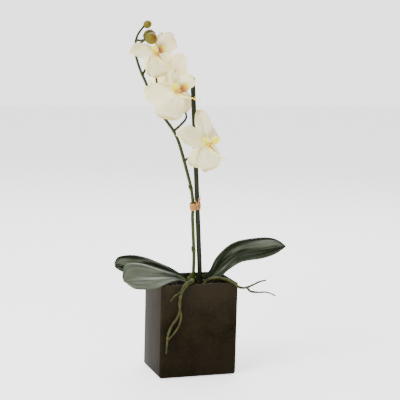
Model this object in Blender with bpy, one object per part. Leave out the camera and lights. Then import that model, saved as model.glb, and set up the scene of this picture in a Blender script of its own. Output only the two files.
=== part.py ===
"""Potted orchid: a square-shouldered pot, bark medium, stake, flower spike, leaves, roots and flowers.

Metres, +Z up. The origin is the centre of the pot's underside. The plant faces -Y.
"""

import math

import bmesh
import bpy
from mathutils import Euler, Matrix, Vector

# ---------------------------------------------------------------- driving dimensions

GAP = 0.0003                 # clearance between pieces that touch

POT_WIDTH = 0.122            # along X
POT_DEPTH = 0.091            # along Y
POT_HEIGHT = 0.143
POT_WALL = 0.0045
POT_FLOOR = 0.006
POT_CORNER = 0.0042          # radius of the upright corners, outside
POT_INNER_CORNER = 0.0020    # and inside
POT_RIM = 0.0013             # radius of the rim's edges
POT_FOOT = 0.0038            # radius round the underside, less than POT_CORNER

HEADSPACE = 0.013            # from the rim down to the medium

STAKE_RADIUS = 0.0037
STAKE_FOOT = (0.0150, 0.0)   # where the stake leaves the medium
STAKE_LEAN = math.radians(3.75)
STAKE_RISE = 0.322           # from the medium to the tip
STAKE_DEPTH = 0.085          # length buried in the medium

SPIKE_RADIUS = 0.0026        # flower stem at its foot
SPIKE_TIP_RADIUS = 0.0015
STALK_RADIUS = 0.0015        # stalks of flowers and buds

LEAF_THICKNESS = 0.0018
LEAF_TIP_WIDTH = 0.004
LEAF_ROWS = 13               # divisions along a blade
LEAF_COLUMNS = 6             # divisions across it
TEPAL_THICKNESS = 0.0010
TEPAL_LAYER = 0.0014         # step forward from one layer of a flower to the next
COLUMN_RADIUS = 0.0028
COLUMN_LENGTH = 0.0110

SEPAL_LENGTH = 0.047
SEPAL_WIDTH = 0.028
BROAD_SEPAL_WIDTH = 0.040
ROUND_SEPAL_WIDTH = 0.052
PETAL_LENGTH = 0.048
PETAL_WIDTH = 0.044
POINTED_PETAL_WIDTH = 0.032

TIE_WALL = 0.0012
TIE_HEIGHT = 0.010

# ---------------------------------------------------------------- places

RIM = POT_HEIGHT
GROUND = POT_HEIGHT - HEADSPACE
FRONT = -POT_DEPTH / 2
LEFT = -POT_WIDTH / 2
RIGHT = POT_WIDTH / 2


def remove_everything():
    for item in list(bpy.data.objects):
        bpy.data.objects.remove(item, do_unlink=True)


def material(name, colour, roughness, metallic=0.0):
    made = bpy.data.materials.get(name)
    if made is None:
        made = bpy.data.materials.new(name)
        made.use_nodes = True
        shader = made.node_tree.nodes["Principled BSDF"]
        shader.inputs["Base Color"].default_value = (*colour, 1.0)
        shader.inputs["Roughness"].default_value = roughness
        shader.inputs["Metallic"].default_value = metallic
        made.diffuse_color = (*colour, 1.0)
    return made


def node(name, mesh, finish):
    item = bpy.data.objects.new(name, mesh)
    bpy.context.scene.collection.objects.link(item)
    item.data.materials.clear()
    item.data.materials.append(finish)
    return item


def mesh_from(name, bm, smooth_angle=40):
    bmesh.ops.recalc_face_normals(bm, faces=bm.faces)
    mesh = bpy.data.meshes.new(name)
    bm.to_mesh(mesh)
    bm.free()
    mesh.shade_smooth()
    mesh.set_sharp_from_angle(angle=math.radians(smooth_angle))
    return mesh


def boolean(target, other, operation):
    cut = target.modifiers.new(operation.lower(), "BOOLEAN")
    cut.operation = operation
    cut.solver = "EXACT"
    cut.object = other
    other.hide_render = True
    other.display_type = "WIRE"


# ---------------------------------------------------------------- smooth routes


def smooth_route(points, steps):
    """Points along the Catmull-Rom curve that passes through the given points."""
    knots = [Vector(p) for p in points]
    ends = [2 * knots[0] - knots[1]] + knots + [2 * knots[-1] - knots[-2]]
    route = []
    for i in range(1, len(ends) - 2):
        a, b, c, d = ends[i - 1:i + 3]
        for k in range(steps):
            t = k / steps
            route.append(0.5 * (2 * b + (c - a) * t + (2 * a - 5 * b + 4 * c - d) * t ** 2
                                + (3 * b - a - 3 * c + d) * t ** 3))
    route.append(knots[-1])
    return route


def tube_curve(name, route, radii):
    """A closed round tube along a route, with its radius running through the given radii."""
    curve = bpy.data.curves.new(name, "CURVE")
    curve.dimensions = "3D"
    curve.bevel_depth = 1.0
    curve.bevel_resolution = 2
    curve.use_fill_caps = True
    spline = curve.splines.new("POLY")
    spline.points.add(len(route) - 1)
    for k, place in enumerate(route):
        along = k / (len(route) - 1) * (len(radii) - 1)
        low = min(int(along), len(radii) - 2)
        share = along - low
        spline.points[k].co = (*place, 1.0)
        spline.points[k].radius = radii[low] * (1 - share) + radii[low + 1] * share
    return curve


def tube(name, points, radii, finish, steps=4):
    curve = tube_curve(name, smooth_route(points, steps), radii)
    guide = bpy.data.objects.new(name + "_guide", curve)
    bpy.context.scene.collection.objects.link(guide)
    guide.select_set(False)
    drawn = guide.evaluated_get(bpy.context.evaluated_depsgraph_get())
    mesh = bpy.data.meshes.new_from_object(drawn)
    bpy.data.objects.remove(guide, do_unlink=True)
    bm = bmesh.new()
    bm.from_mesh(mesh)
    bmesh.ops.remove_doubles(bm, verts=bm.verts, dist=1e-6)
    return node(name, mesh_from(name, bm, 60), finish)


# ---------------------------------------------------------------- pot, medium and stake


def rounded_block(width, depth, height, corner):
    bm = bmesh.new()
    bmesh.ops.create_cube(bm, size=1.0)
    bmesh.ops.scale(bm, vec=(width, depth, height), verts=bm.verts)
    bmesh.ops.translate(bm, vec=(0, 0, height / 2), verts=bm.verts)
    upright = [e for e in bm.edges if abs(e.verts[0].co.z - e.verts[1].co.z) > height / 2]
    bmesh.ops.bevel(bm, geom=upright, offset=corner, segments=4, affect="EDGES", profile=0.5)
    return bm


def loop_edges(bm, height):
    """Edges that lie level at a height."""
    return [e for e in bm.edges if all(abs(v.co.z - height) < 1e-6 for v in e.verts)]


def make_pot(finish):
    bm = rounded_block(POT_WIDTH, POT_DEPTH, POT_HEIGHT, POT_CORNER)
    hollow = rounded_block(POT_WIDTH - 2 * POT_WALL, POT_DEPTH - 2 * POT_WALL,
                           POT_HEIGHT - POT_FLOOR, POT_INNER_CORNER)
    bmesh.ops.translate(hollow, vec=(0, 0, POT_FLOOR), verts=hollow.verts)
    bmesh.ops.reverse_faces(hollow, faces=hollow.faces)
    lining = bpy.data.meshes.new("lining")
    hollow.to_mesh(lining)
    hollow.free()
    bm.from_mesh(lining)
    bm.normal_update()
    tops = [f for f in bm.faces if all(abs(v.co.z - POT_HEIGHT) < 1e-6 for v in f.verts)]
    bmesh.ops.delete(bm, geom=tops, context="FACES_ONLY")
    rim = loop_edges(bm, POT_HEIGHT)
    bmesh.ops.bridge_loops(bm, edges=rim)
    bmesh.ops.bevel(bm, geom=rim, offset=POT_RIM, segments=2, affect="EDGES", profile=0.5)
    bmesh.ops.bevel(bm, geom=loop_edges(bm, 0.0), offset=POT_FOOT, segments=3, affect="EDGES",
                    profile=0.5)
    return node("pot", mesh_from("pot", bm), finish)


def stake_matrix(below):
    """The stake's own frame: Z along it, its origin a length below the medium's surface."""
    lean = Matrix.Rotation(-STAKE_LEAN, 4, "Y")
    foot = Matrix.Translation((*STAKE_FOOT, GROUND))
    return foot @ lean @ Matrix.Translation((0, 0, -below))


def cylinder(radius, length, sides, matrix, taper=1.0):
    bm = bmesh.new()
    bmesh.ops.create_cone(bm, cap_ends=True, segments=sides, radius1=radius,
                          radius2=radius * taper, depth=length,
                          matrix=matrix @ Matrix.Translation((0, 0, length / 2)))
    return bm


def make_medium(finish):
    fit = POT_WALL + GAP
    height = GROUND - POT_FLOOR - GAP
    bm = rounded_block(POT_WIDTH - 2 * fit, POT_DEPTH - 2 * fit, height,
                       POT_INNER_CORNER - GAP)
    bmesh.ops.translate(bm, vec=(0, 0, POT_FLOOR + GAP), verts=bm.verts)
    medium = node("growing_medium", mesh_from("growing_medium", bm), finish)
    bore = cylinder(STAKE_RADIUS + GAP, STAKE_DEPTH + 0.02, 16, stake_matrix(STAKE_DEPTH + GAP))
    cutter = node("stake_bore", mesh_from("stake_bore", bore), finish)
    boolean(medium, cutter, "DIFFERENCE")
    return medium


def make_stake(finish):
    bm = cylinder(STAKE_RADIUS, STAKE_DEPTH + STAKE_RISE, 16, stake_matrix(STAKE_DEPTH))
    top = max(bm.faces, key=lambda f: f.calc_center_median().z)
    bmesh.ops.bevel(bm, geom=list(top.edges), offset=0.0012, segments=2, affect="EDGES",
                    profile=0.5)
    return node("stake", mesh_from("stake", bm), finish)


def stake_at(height):
    """The stake's centre at a height above the medium."""
    return Vector((STAKE_FOOT[0] - math.tan(STAKE_LEAN) * height, STAKE_FOOT[1], GROUND + height))


# ---------------------------------------------------------------- crown and leaves


CROWN_PLACE = (0.0060, 0.0160)
CROWN_RADIUS = 0.0105
CROWN_HEIGHT = 0.017


def make_crown(finish):
    bm = bmesh.new()
    bmesh.ops.create_cone(bm, cap_ends=True, segments=14, radius1=CROWN_RADIUS,
                          radius2=CROWN_RADIUS * 0.55, depth=CROWN_HEIGHT)
    bmesh.ops.scale(bm, vec=(1.0, 0.8, 1.0), verts=bm.verts)
    bmesh.ops.translate(bm, vec=(*CROWN_PLACE, GROUND + GAP + CROWN_HEIGHT / 2), verts=bm.verts)
    top = max(bm.faces, key=lambda f: f.calc_center_median().z)
    bmesh.ops.bevel(bm, geom=list(top.edges), offset=0.003, segments=3, affect="EDGES",
                    profile=0.5)
    return node("crown", mesh_from("crown", bm), finish)


def blade_share(s, rise, fall):
    """A leaf's half width as a share of its widest, from its base (0) to its tip (1)."""
    peak = rise / (rise + fall)
    top = peak ** rise * (1 - peak) ** fall
    return s ** rise * (1 - s) ** fall / top


def make_leaf(name, midrib, width, base_width, tilt, fold, rise, fall, finish):
    """A blade along a midrib; tilt raises its far edge and fold raises both edges."""
    route = smooth_route(midrib, 8)
    bm = bmesh.new()
    bmesh.ops.create_grid(bm, x_segments=LEAF_COLUMNS, y_segments=LEAF_ROWS, size=0.5)
    for v in bm.verts:
        s = v.co.y + 0.5
        t = v.co.x * 2
        reach = s * (len(route) - 1)
        k = min(int(reach), len(route) - 2)
        place = route[k].lerp(route[k + 1], reach - k)
        ahead = (route[min(k + 2, len(route) - 1)] - route[max(k - 1, 0)]).normalized()
        lift = tilt[0] * (1 - s) + tilt[1] * s
        side = Vector((0, math.cos(math.radians(lift)), math.sin(math.radians(lift))))
        side = (side - side.dot(ahead) * ahead).normalized()
        up = ahead.cross(side).normalized()
        if up.z < 0:
            up = -up
        least = base_width if s < 0.9 else LEAF_TIP_WIDTH
        half = 0.5 * max(width * blade_share(0.02 + 0.96 * s, rise, fall), least)
        v.co = place + side * (t * half) + up * (fold * half * abs(t) ** 1.6)
    item = node(name, mesh_from(name, bm, 60), finish)
    thick = item.modifiers.new("thickness", "SOLIDIFY")
    thick.thickness = LEAF_THICKNESS
    thick.offset = 0.0
    return item


def make_leaves(finish):
    make_leaf("leaf_left_front",
              [(-0.0090, -0.0060, RIM - 0.0030), (-0.0300, -0.0180, RIM + 0.0060),
               (LEFT + 0.0040, FRONT + 0.0165, RIM + 0.0115),
               (LEFT - 0.0190, FRONT + 0.0085, RIM + 0.0140),
               (LEFT - 0.0430, FRONT + 0.0040, RIM + 0.0155),
               (LEFT - 0.0590, FRONT + 0.0030, RIM + 0.0140)],
              0.049, 0.010, (28, 38), 0.10, 0.80, 0.34, finish)
    make_leaf("leaf_left_back",
              [(-0.0065, 0.0150, RIM - 0.0015), (-0.0290, 0.0150, RIM + 0.0080),
               (-0.0540, 0.0175, RIM + 0.0160), (LEFT - 0.0190, 0.0195, RIM + 0.0210),
               (LEFT - 0.0420, 0.0200, RIM + 0.0225), (LEFT - 0.0560, 0.0200, RIM + 0.0215)],
              0.039, 0.010, (20, 34), 0.10, 0.80, 0.36, finish)
    make_leaf("leaf_right",
              [(0.0195, 0.0120, RIM - 0.0045), (0.0330, 0.0060, RIM - 0.0010),
               (0.0420, 0.0010, RIM + 0.0080), (0.0530, -0.0010, RIM + 0.0215),
               (RIGHT + 0.0130, -0.0050, RIM + 0.0380), (RIGHT + 0.0420, -0.0120, RIM + 0.0455),
               (RIGHT + 0.0680, -0.0200, RIM + 0.0505), (RIGHT + 0.0845, -0.0240, RIM + 0.0500)],
              0.047, 0.012, (20, 34), 0.12, 0.80, 0.62, finish)


# ---------------------------------------------------------------- roots


def branched(name, main, side_runs, finish):
    """A root that grew as one piece: its main run, joined with its side runs."""
    whole = tube(name, main[0], main[1], finish, steps=3)
    for k, run in enumerate(side_runs):
        branch = tube(f"{name}_run_{k}", run[0], run[1], finish, steps=3)
        boolean(whole, branch, "UNION")
    return whole


def make_roots(finish):
    out = FRONT - 0.0045
    branched("root_left",
             ([(0.0000, -0.0085, GROUND + 0.0035), (-0.0055, -0.0160, RIM - 0.0010),
               (-0.0070, -0.0270, RIM + 0.0028), (-0.0110, FRONT + 0.0075, RIM + 0.0036),
               (-0.0200, FRONT - 0.0010, RIM + 0.0034), (-0.0290, out - 0.0010, RIM - 0.0035),
               (-0.0325, out - 0.0005, RIM - 0.0130), (-0.0335, out, RIM - 0.0250),
               (-0.0335, out, RIM - 0.0380), (-0.0375, out, RIM - 0.0490),
               (-0.0460, out, RIM - 0.0610), (-0.0510, out, RIM - 0.0750),
               (-0.0520, out, RIM - 0.0880), (-0.0530, out, RIM - 0.1030)],
              [0.0024, 0.0030, 0.0031, 0.0030, 0.0026, 0.0020, 0.0018, 0.0016, 0.0013]),
             [([(-0.0335, out - 0.0004, RIM - 0.0360), (-0.0310, out, RIM - 0.0450),
                (-0.0335, out, RIM - 0.0590), (-0.0410, out, RIM - 0.0710),
                (-0.0505, out - 0.0003, RIM - 0.0815)],
               [0.0016, 0.0016, 0.0015]),
              ([(-0.0320, out - 0.0008, RIM - 0.0080), (-0.0370, out - 0.0010, RIM - 0.0110),
                (-0.0425, out - 0.0006, RIM - 0.0150), (-0.0480, out, RIM - 0.0225)],
               [0.0015, 0.0013, 0.0010])],
             finish)
    branched("root_right",
             ([(0.0170, -0.0080, GROUND + 0.0035), (0.0230, -0.0140, RIM - 0.0012),
               (0.0300, -0.0200, RIM + 0.0030), (0.0385, -0.0270, RIM + 0.0040),
               (0.0465, FRONT + 0.0070, RIM + 0.0034), (0.0530, FRONT - 0.0020, RIM + 0.0010),
               (0.0600, FRONT - 0.0045, RIM - 0.0055), (RIGHT + 0.0095, FRONT - 0.0045, RIM - 0.0070),
               (RIGHT + 0.0210, FRONT - 0.0040, RIM - 0.0035),
               (RIGHT + 0.0320, FRONT - 0.0035, RIM + 0.0010),
               (RIGHT + 0.0435, FRONT - 0.0030, RIM + 0.0030)],
              [0.0024, 0.0029, 0.0027, 0.0024, 0.0022, 0.0019, 0.0016, 0.0012]),
             [([(RIGHT + 0.0120, FRONT - 0.0045, RIM - 0.0070),
              (RIGHT + 0.0185, FRONT - 0.0050, RIM - 0.0130),
                (RIGHT + 0.0320, FRONT - 0.0050, RIM - 0.0150),
                (RIGHT + 0.0450, FRONT - 0.0050, RIM - 0.0155),
                (RIGHT + 0.0590, FRONT - 0.0050, RIM - 0.0215)],
               [0.0018, 0.0015, 0.0014, 0.0012])],
             finish)


# ---------------------------------------------------------------- flower spike, stalks and tie


TIE_RISE = 0.1255            # the tie's middle above the medium
SPIKE_TIE_STEP = STAKE_RADIUS + SPIKE_RADIUS + 0.0006


def spike_points():
    held = stake_at(TIE_RISE)
    return [Vector((0.0030, 0.0, GROUND + 0.0010)), Vector((0.0032, 0.0, GROUND + 0.0500)),
            Vector((held.x - SPIKE_TIE_STEP - 0.0004, 0.0, held.z - 0.0180)),
            Vector((held.x - SPIKE_TIE_STEP, 0.0, held.z)),
            Vector((held.x - SPIKE_TIE_STEP - 0.0030, 0.0, held.z + 0.0240)),
            Vector((-0.0095, 0.0, GROUND + 0.1730)), Vector((-0.0225, 0.0, GROUND + 0.2150)),
            Vector((-0.0335, 0.0, GROUND + 0.2400)), Vector((-0.0520, 0.0, GROUND + 0.2640)),
            Vector((-0.0680, 0.0, GROUND + 0.2900)), Vector((-0.0800, 0.0, GROUND + 0.3150)),
            Vector((-0.0885, 0.0, GROUND + 0.3330)), Vector((-0.0950, 0.0, GROUND + 0.3530)),
            Vector((-0.0960, 0.0, GROUND + 0.3690)), Vector((-0.0925, 0.0, GROUND + 0.3830)),
            Vector((-0.0840, 0.0, GROUND + 0.3947))]


def make_spike(finish):
    points = spike_points()
    radii = [SPIKE_RADIUS, SPIKE_RADIUS, SPIKE_RADIUS * 0.95, SPIKE_RADIUS * 0.9, SPIKE_RADIUS * 0.8,
             SPIKE_RADIUS * 0.7, SPIKE_TIP_RADIUS]
    return tube("flower_spike", points, radii, finish, steps=3)


def make_tie(finish):
    """A band round the stake and the stem, with a knot in front and two short ends."""
    held = stake_at(TIE_RISE)
    reach = SPIKE_TIE_STEP / 2
    bm = bmesh.new()
    outline = []
    for radius in (STAKE_RADIUS + 2 * GAP, STAKE_RADIUS + 2 * GAP + TIE_WALL):
        ring = []
        for k in range(20):
            turn = 2 * math.pi * k / 20
            shift = reach if math.cos(turn) > 0 else -reach
            ring.append(bm.verts.new((shift + radius * math.cos(turn), radius * math.sin(turn),
                                      -TIE_HEIGHT / 2)))
        outline.append([bm.edges.new((ring[k], ring[(k + 1) % 20])) for k in range(20)])
    band = bmesh.ops.bridge_loops(bm, edges=outline[0] + outline[1])
    pushed = bmesh.ops.extrude_face_region(bm, geom=band["faces"])
    raised = [g for g in pushed["geom"] if isinstance(g, bmesh.types.BMVert)]
    bmesh.ops.translate(bm, vec=(0, 0, TIE_HEIGHT), verts=raised)
    frame = Matrix.Translation(held - Vector((reach, 0, 0)))
    frame = frame @ Matrix.Rotation(-STAKE_LEAN, 4, "Y")
    bmesh.ops.transform(bm, matrix=frame, verts=bm.verts)
    tie = node("raffia_tie", mesh_from("raffia_tie", bm), finish)
    front = -STAKE_RADIUS - TIE_WALL - 2 * GAP
    knot = bmesh.new()
    bmesh.ops.create_uvsphere(knot, u_segments=10, v_segments=7, radius=0.0035)
    bmesh.ops.translate(knot, vec=held + Vector((-reach, front - 0.0010, 0)), verts=knot.verts)
    boolean(tie, node("tie_knot", mesh_from("tie_knot", knot), finish), "UNION")
    for k, spread in enumerate((-0.0050, 0.0042)):
        start = held + Vector((-reach, front - 0.0015, 0))
        end = tube(f"tie_end_{k}", [start, start + Vector((spread * 0.6, -0.0015, 0.0050)),
                                    start + Vector((spread, -0.0005, 0.0100))],
                   [0.0010, 0.0009, 0.0007], finish, steps=3)
        boolean(tie, end, "UNION")
    return tie


# ---------------------------------------------------------------- flowers


class Tepal:
    """One petal or sepal, and how it sits in its flower. Angles are in degrees."""

    def __init__(self, clock, kind, tilt=0, bend=0, cup=0.10, roll=0, size=1.0, layer=0):
        self.clock = clock       # from the flower's top, turning to its right
        self.length, self.width, self.rise, self.fall = KINDS[kind]
        self.length *= size
        self.width *= size
        self.tilt = tilt         # forward lean of its claw
        self.bend = bend         # further forward turn from claw to tip
        self.cup = cup           # rise of its edges, as a share of its half width
        self.roll = roll         # turn about its own length
        self.layer = layer       # steps forward of the rearmost sepal


KINDS = {
    "sepal": (SEPAL_LENGTH, SEPAL_WIDTH, 0.62, 0.50),
    "broad_sepal": (SEPAL_LENGTH, BROAD_SEPAL_WIDTH, 0.62, 0.38),
    "round_sepal": (SEPAL_LENGTH, ROUND_SEPAL_WIDTH, 0.58, 0.36),
    "petal": (PETAL_LENGTH, PETAL_WIDTH, 0.60, 0.42),
    "pointed_petal": (PETAL_LENGTH, POINTED_PETAL_WIDTH, 0.62, 0.66),
}


def flower_matrix(centre, yaw, pitch, roll):
    turn = Euler((math.radians(pitch), math.radians(roll), 0)).to_matrix().to_4x4()
    return Matrix.Translation(centre) @ Matrix.Rotation(math.radians(yaw), 4, "Z") @ turn


def make_tepal(name, tepal, frame, finish):
    """Modelled along +Z with its front at -Y, then turned to its place in the flower."""
    across = 6 if tepal.width > 0.04 else 4
    bm = bmesh.new()
    bmesh.ops.create_grid(bm, x_segments=across, y_segments=7, size=0.5)
    bend = math.radians(tepal.bend)
    if abs(bend) < 1e-4:
        bend = 1e-4
    for v in bm.verts:
        s = v.co.y + 0.5
        t = v.co.x * 2
        share = blade_share(0.03 + 0.94 * s, tepal.rise, tepal.fall)
        half = 0.5 * max(tepal.width * share, 0.0045 * (1 - s))
        radius = tepal.length / bend
        height = radius * math.sin(bend * s)
        forward = radius * (1 - math.cos(bend * s)) + tepal.cup * half * t * t * s
        v.co = (t * half, -forward, height)
    roll = Matrix.Rotation(math.radians(tepal.roll), 4, "Z")
    lean = Matrix.Rotation(math.radians(tepal.tilt), 4, "X")
    claw = Matrix.Translation((0, -tepal.layer * TEPAL_LAYER, COLUMN_RADIUS + 2 * GAP))
    clock = Matrix.Rotation(math.radians(tepal.clock), 4, "Y")
    bmesh.ops.transform(bm, matrix=frame @ clock @ claw @ lean @ roll, verts=bm.verts)
    item = node(name, mesh_from(name, bm, 60), finish)
    thick = item.modifiers.new("thickness", "SOLIDIFY")
    thick.thickness = TEPAL_THICKNESS
    thick.offset = 0.0
    return item


def make_column(name, frame, finish):
    bm = bmesh.new()
    bmesh.ops.create_cone(bm, cap_ends=True, segments=10, radius1=COLUMN_RADIUS,
                          radius2=COLUMN_RADIUS * 0.9, depth=COLUMN_LENGTH)
    front = max(bm.faces, key=lambda f: f.calc_center_median().z)
    bmesh.ops.bevel(bm, geom=list(front.edges), offset=0.0012, segments=2, affect="EDGES",
                    profile=0.5)
    turn = Matrix.Rotation(math.radians(90), 4, "X")
    push = Matrix.Translation((0, 0, COLUMN_LENGTH / 2 - 0.0015))
    bmesh.ops.transform(bm, matrix=frame @ turn @ push, verts=bm.verts)
    return node(name, mesh_from(name, bm), finish)


def make_lip(name, frame, finish, droop, turn, size):
    """A claw, two upright side lobes and a pointed midlobe, grown from one block."""
    bm = bmesh.new()
    bmesh.ops.create_cube(bm, size=1.0)
    bmesh.ops.scale(bm, vec=(0.0056, 0.0060, 0.0030), verts=bm.verts)
    bmesh.ops.translate(bm, vec=(0, -0.0065, -0.0015), verts=bm.verts)

    def grow(face, steps):
        for move, size in steps:
            pushed = bmesh.ops.extrude_face_region(bm, geom=[face])
            bmesh.ops.delete(bm, geom=[face], context="FACES_ONLY")
            face = next(g for g in pushed["geom"] if isinstance(g, bmesh.types.BMFace))
            middle = face.calc_center_median() + Vector(move)
            for v in face.verts:
                v.co = middle + Vector([(a - m + d) * k for a, m, d, k
                                        in zip(v.co, middle, move, size)])
            face.normal_update()
        return face

    bmesh.ops.recalc_face_normals(bm, faces=bm.faces)
    drop = math.radians(droop)
    ahead = Vector((0, -math.cos(drop), -math.sin(drop)))
    front = min(bm.faces, key=lambda f: f.calc_center_median().y)
    grow(front, [(ahead * 0.0050, (1.5, 1, 0.8)), (ahead * 0.0080, (1.2, 1, 0.6)),
                 (ahead * 0.0100, (0.45, 1, 0.8)), (ahead * 0.0070, (0.5, 1, 0.9))])
    for side in (-1, 1):
        walls = [f for f in bm.faces if abs(f.normal.x) > 0.9 and f.calc_center_median().y > -0.012]
        wall = max(walls, key=lambda f: side * f.calc_center_median().x)
        grow(wall, [(Vector((side * 0.0030, -0.0010, 0.0030)), (1, 0.6, 2.2)),
                    (Vector((side * 0.0045, -0.0025, 0.0050)), (1, 0.6, 2.0)),
                    (Vector((side * 0.0045, -0.0015, 0.0020)), (1, 0.9, 0.9)),
                    (Vector((side * 0.0016, -0.0004, 0.0004)), (1, 0.6, 0.5))])
    below = Matrix.Translation((0, 0, -COLUMN_RADIUS - 5 * GAP))
    turned = Matrix.Rotation(math.radians(turn), 4, "Z") @ Matrix.Scale(size, 4)
    bmesh.ops.transform(bm, matrix=frame @ below @ turned, verts=bm.verts)
    item = node(name, mesh_from(name, bm, 60), finish)
    soft = item.modifiers.new("soft", "SUBSURF")
    soft.levels = 1
    soft.render_levels = 1
    return item


FLOWERS = {
    "a": (dict(centre=(-0.0690, -0.0100, GROUND + 0.3630), yaw=11, pitch=4, roll=0),
          dict(droop=35, turn=10, size=0.90), {
        "dorsal_sepal": Tepal(36, "sepal", tilt=-18, bend=8, size=0.56),
        "petal_right": Tepal(64, "petal", tilt=-10, bend=14, cup=0.20, size=0.70, layer=2),
        "petal_left": Tepal(-96, "pointed_petal", tilt=10, roll=48, size=0.92, layer=3),
        "lateral_sepal_right": Tepal(163, "broad_sepal", tilt=0, bend=-6, size=0.86, layer=1),
        "lateral_sepal_left": Tepal(170, "broad_sepal", tilt=-8, bend=-8, size=0.84)}),
    "b": (dict(centre=(-0.0430, 0.0260, GROUND + 0.3370), yaw=122, pitch=-4, roll=0),
          dict(droop=40, turn=0, size=0.72), {
        "dorsal_sepal": Tepal(-6, "sepal", tilt=0, bend=10, size=0.74),
        "petal_right": Tepal(84, "petal", tilt=-8, bend=10, size=0.78, layer=3),
        "petal_left": Tepal(-84, "petal", tilt=-4, bend=10, size=0.78, layer=4),
        "lateral_sepal_right": Tepal(150, "broad_sepal", tilt=-10, bend=10, size=0.74),
        "lateral_sepal_left": Tepal(-146, "broad_sepal", tilt=-4, bend=4, size=0.74, layer=1)}),
    "c": (dict(centre=(-0.0355, -0.0100, GROUND + 0.3065), yaw=15, pitch=4, roll=0),
          dict(droop=10, turn=6, size=1.15), {
        "dorsal_sepal": Tepal(-6, "sepal", tilt=-4, bend=20, size=0.50),
        "petal_right": Tepal(54, "petal", tilt=20, bend=24, size=0.56, layer=2),
        "petal_left": Tepal(-107, "petal", tilt=1, roll=58, size=1.06, layer=3),
        "lateral_sepal_right": Tepal(150, "broad_sepal", tilt=-15, bend=-6, size=1.06),
        "lateral_sepal_left": Tepal(-168, "round_sepal", tilt=-6, bend=-4, size=1.0, layer=1)}),
    "d": (dict(centre=(0.0130, -0.0180, GROUND + 0.2280), yaw=11, pitch=4, roll=0),
          dict(droop=26, turn=8, size=1.05), {
        "dorsal_sepal": Tepal(-15, "sepal", tilt=-19, size=0.98, layer=1),
        "petal_right": Tepal(54, "petal", tilt=-40, size=0.72),
        "petal_left": Tepal(-77, "pointed_petal", tilt=2, roll=34, size=1.12, layer=4),
        "lateral_sepal_right": Tepal(168, "broad_sepal", tilt=-2, bend=-6, size=0.96, layer=2),
        "lateral_sepal_left": Tepal(-160, "broad_sepal", tilt=-10, bend=-6, size=0.90)}),
}


def make_flower(tag, finishes):
    place, lip, tepals = FLOWERS[tag]
    frame = flower_matrix(**place)
    for part, tepal in tepals.items():
        make_tepal(f"flower_{tag}_{part}", tepal, frame, finishes["tepal"])
    make_column(f"flower_{tag}_column", frame, finishes["column"])
    make_lip(f"flower_{tag}_lip", frame, finishes["lip"], **lip)


def behind(tag, distance):
    """A point straight behind a flower, at a distance from its middle."""
    return flower_matrix(**FLOWERS[tag][0]) @ Vector((0, distance, 0))


def spike_at(height):
    """The middle of the flower stem, and its direction, at a height above the medium."""
    route = smooth_route(spike_points(), 6)
    for low, high in zip(route, route[1:]):
        if low.z <= GROUND + height < high.z:
            share = (GROUND + height - low.z) / (high.z - low.z)
            return low.lerp(high, share), (high - low).normalized()
    return route[-1], (route[-1] - route[-2]).normalized()


def make_stalk(name, height, points, finish):
    """A stalk that starts at the stem's side and runs through the given points."""
    start, along = spike_at(height)
    aim = (Vector(points[0]) - start).normalized()
    lean = abs(aim.dot(along))
    clear = (SPIKE_RADIUS + GAP + STALK_RADIUS * lean) / math.sqrt(1 - lean ** 2)
    tube(name, [start + aim * clear] + points, [STALK_RADIUS, STALK_RADIUS], finish)


def make_flower_stalks(finish):
    routes = {
        "a": (0.3240, [(-0.0740, 0.0040, GROUND + 0.3410)]),
        "b": (0.2920, [(-0.0610, 0.0030, GROUND + 0.3080), (-0.0590, 0.0150, GROUND + 0.3260)]),
        "c": (0.2405, [(-0.0215, 0.0060, GROUND + 0.2490), (-0.0095, 0.0160, GROUND + 0.2590),
                       (-0.0080, 0.0300, GROUND + 0.2700), (-0.0160, 0.0330, GROUND + 0.2860),
                       (-0.0270, 0.0140, GROUND + 0.2990)]),
        "d": (0.1950, [(-0.0080, -0.0065, GROUND + 0.2030), (0.0020, -0.0085, GROUND + 0.2120)]),
    }
    for tag, (height, points) in routes.items():
        ends = [behind(tag, 0.0080), behind(tag, 0.0015 + 2 * GAP)]
        make_stalk(f"flower_{tag}_stalk", height, points + ends, finish)


# ---------------------------------------------------------------- buds


def make_bud(name, centre, radius, aim, finish):
    bm = bmesh.new()
    bmesh.ops.create_uvsphere(bm, u_segments=12, v_segments=8, radius=radius)
    bmesh.ops.scale(bm, vec=(0.96, 0.96, 1.06), verts=bm.verts)
    turn = Vector(aim).to_track_quat("Z", "Y").to_matrix().to_4x4()
    bmesh.ops.transform(bm, matrix=Matrix.Translation(centre) @ turn, verts=bm.verts)
    return node(name, mesh_from(name, bm, 60), finish)


BUD_RADII = (0.0062, 0.0092, 0.0100)


def make_buds(finish, stem):
    tip = spike_points()[-1]
    aim = Vector((0.86, 0.0, 0.51))
    make_bud("bud_1", tip + aim * (BUD_RADII[0] * 1.06 + GAP), BUD_RADII[0], aim, finish)
    places = {
        "bud_2": (0.3745, Vector((-0.0805, -0.0300, GROUND + 0.3779)), BUD_RADII[1]),
        "bud_3": (0.3655, Vector((-0.0720, 0.0090, GROUND + 0.3815)), BUD_RADII[2]),
    }
    for name, (height, centre, radius) in places.items():
        start = spike_at(height)[0]
        aim = (centre - start).normalized()
        make_bud(name, centre, radius, aim, finish)
        end = centre - aim * (radius * 1.06 + GAP)
        middle = start.lerp(end, 0.5) - Vector((0, 0, 0.0010))
        make_stalk(name + "_stalk", height, [middle, end], stem)


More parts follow.
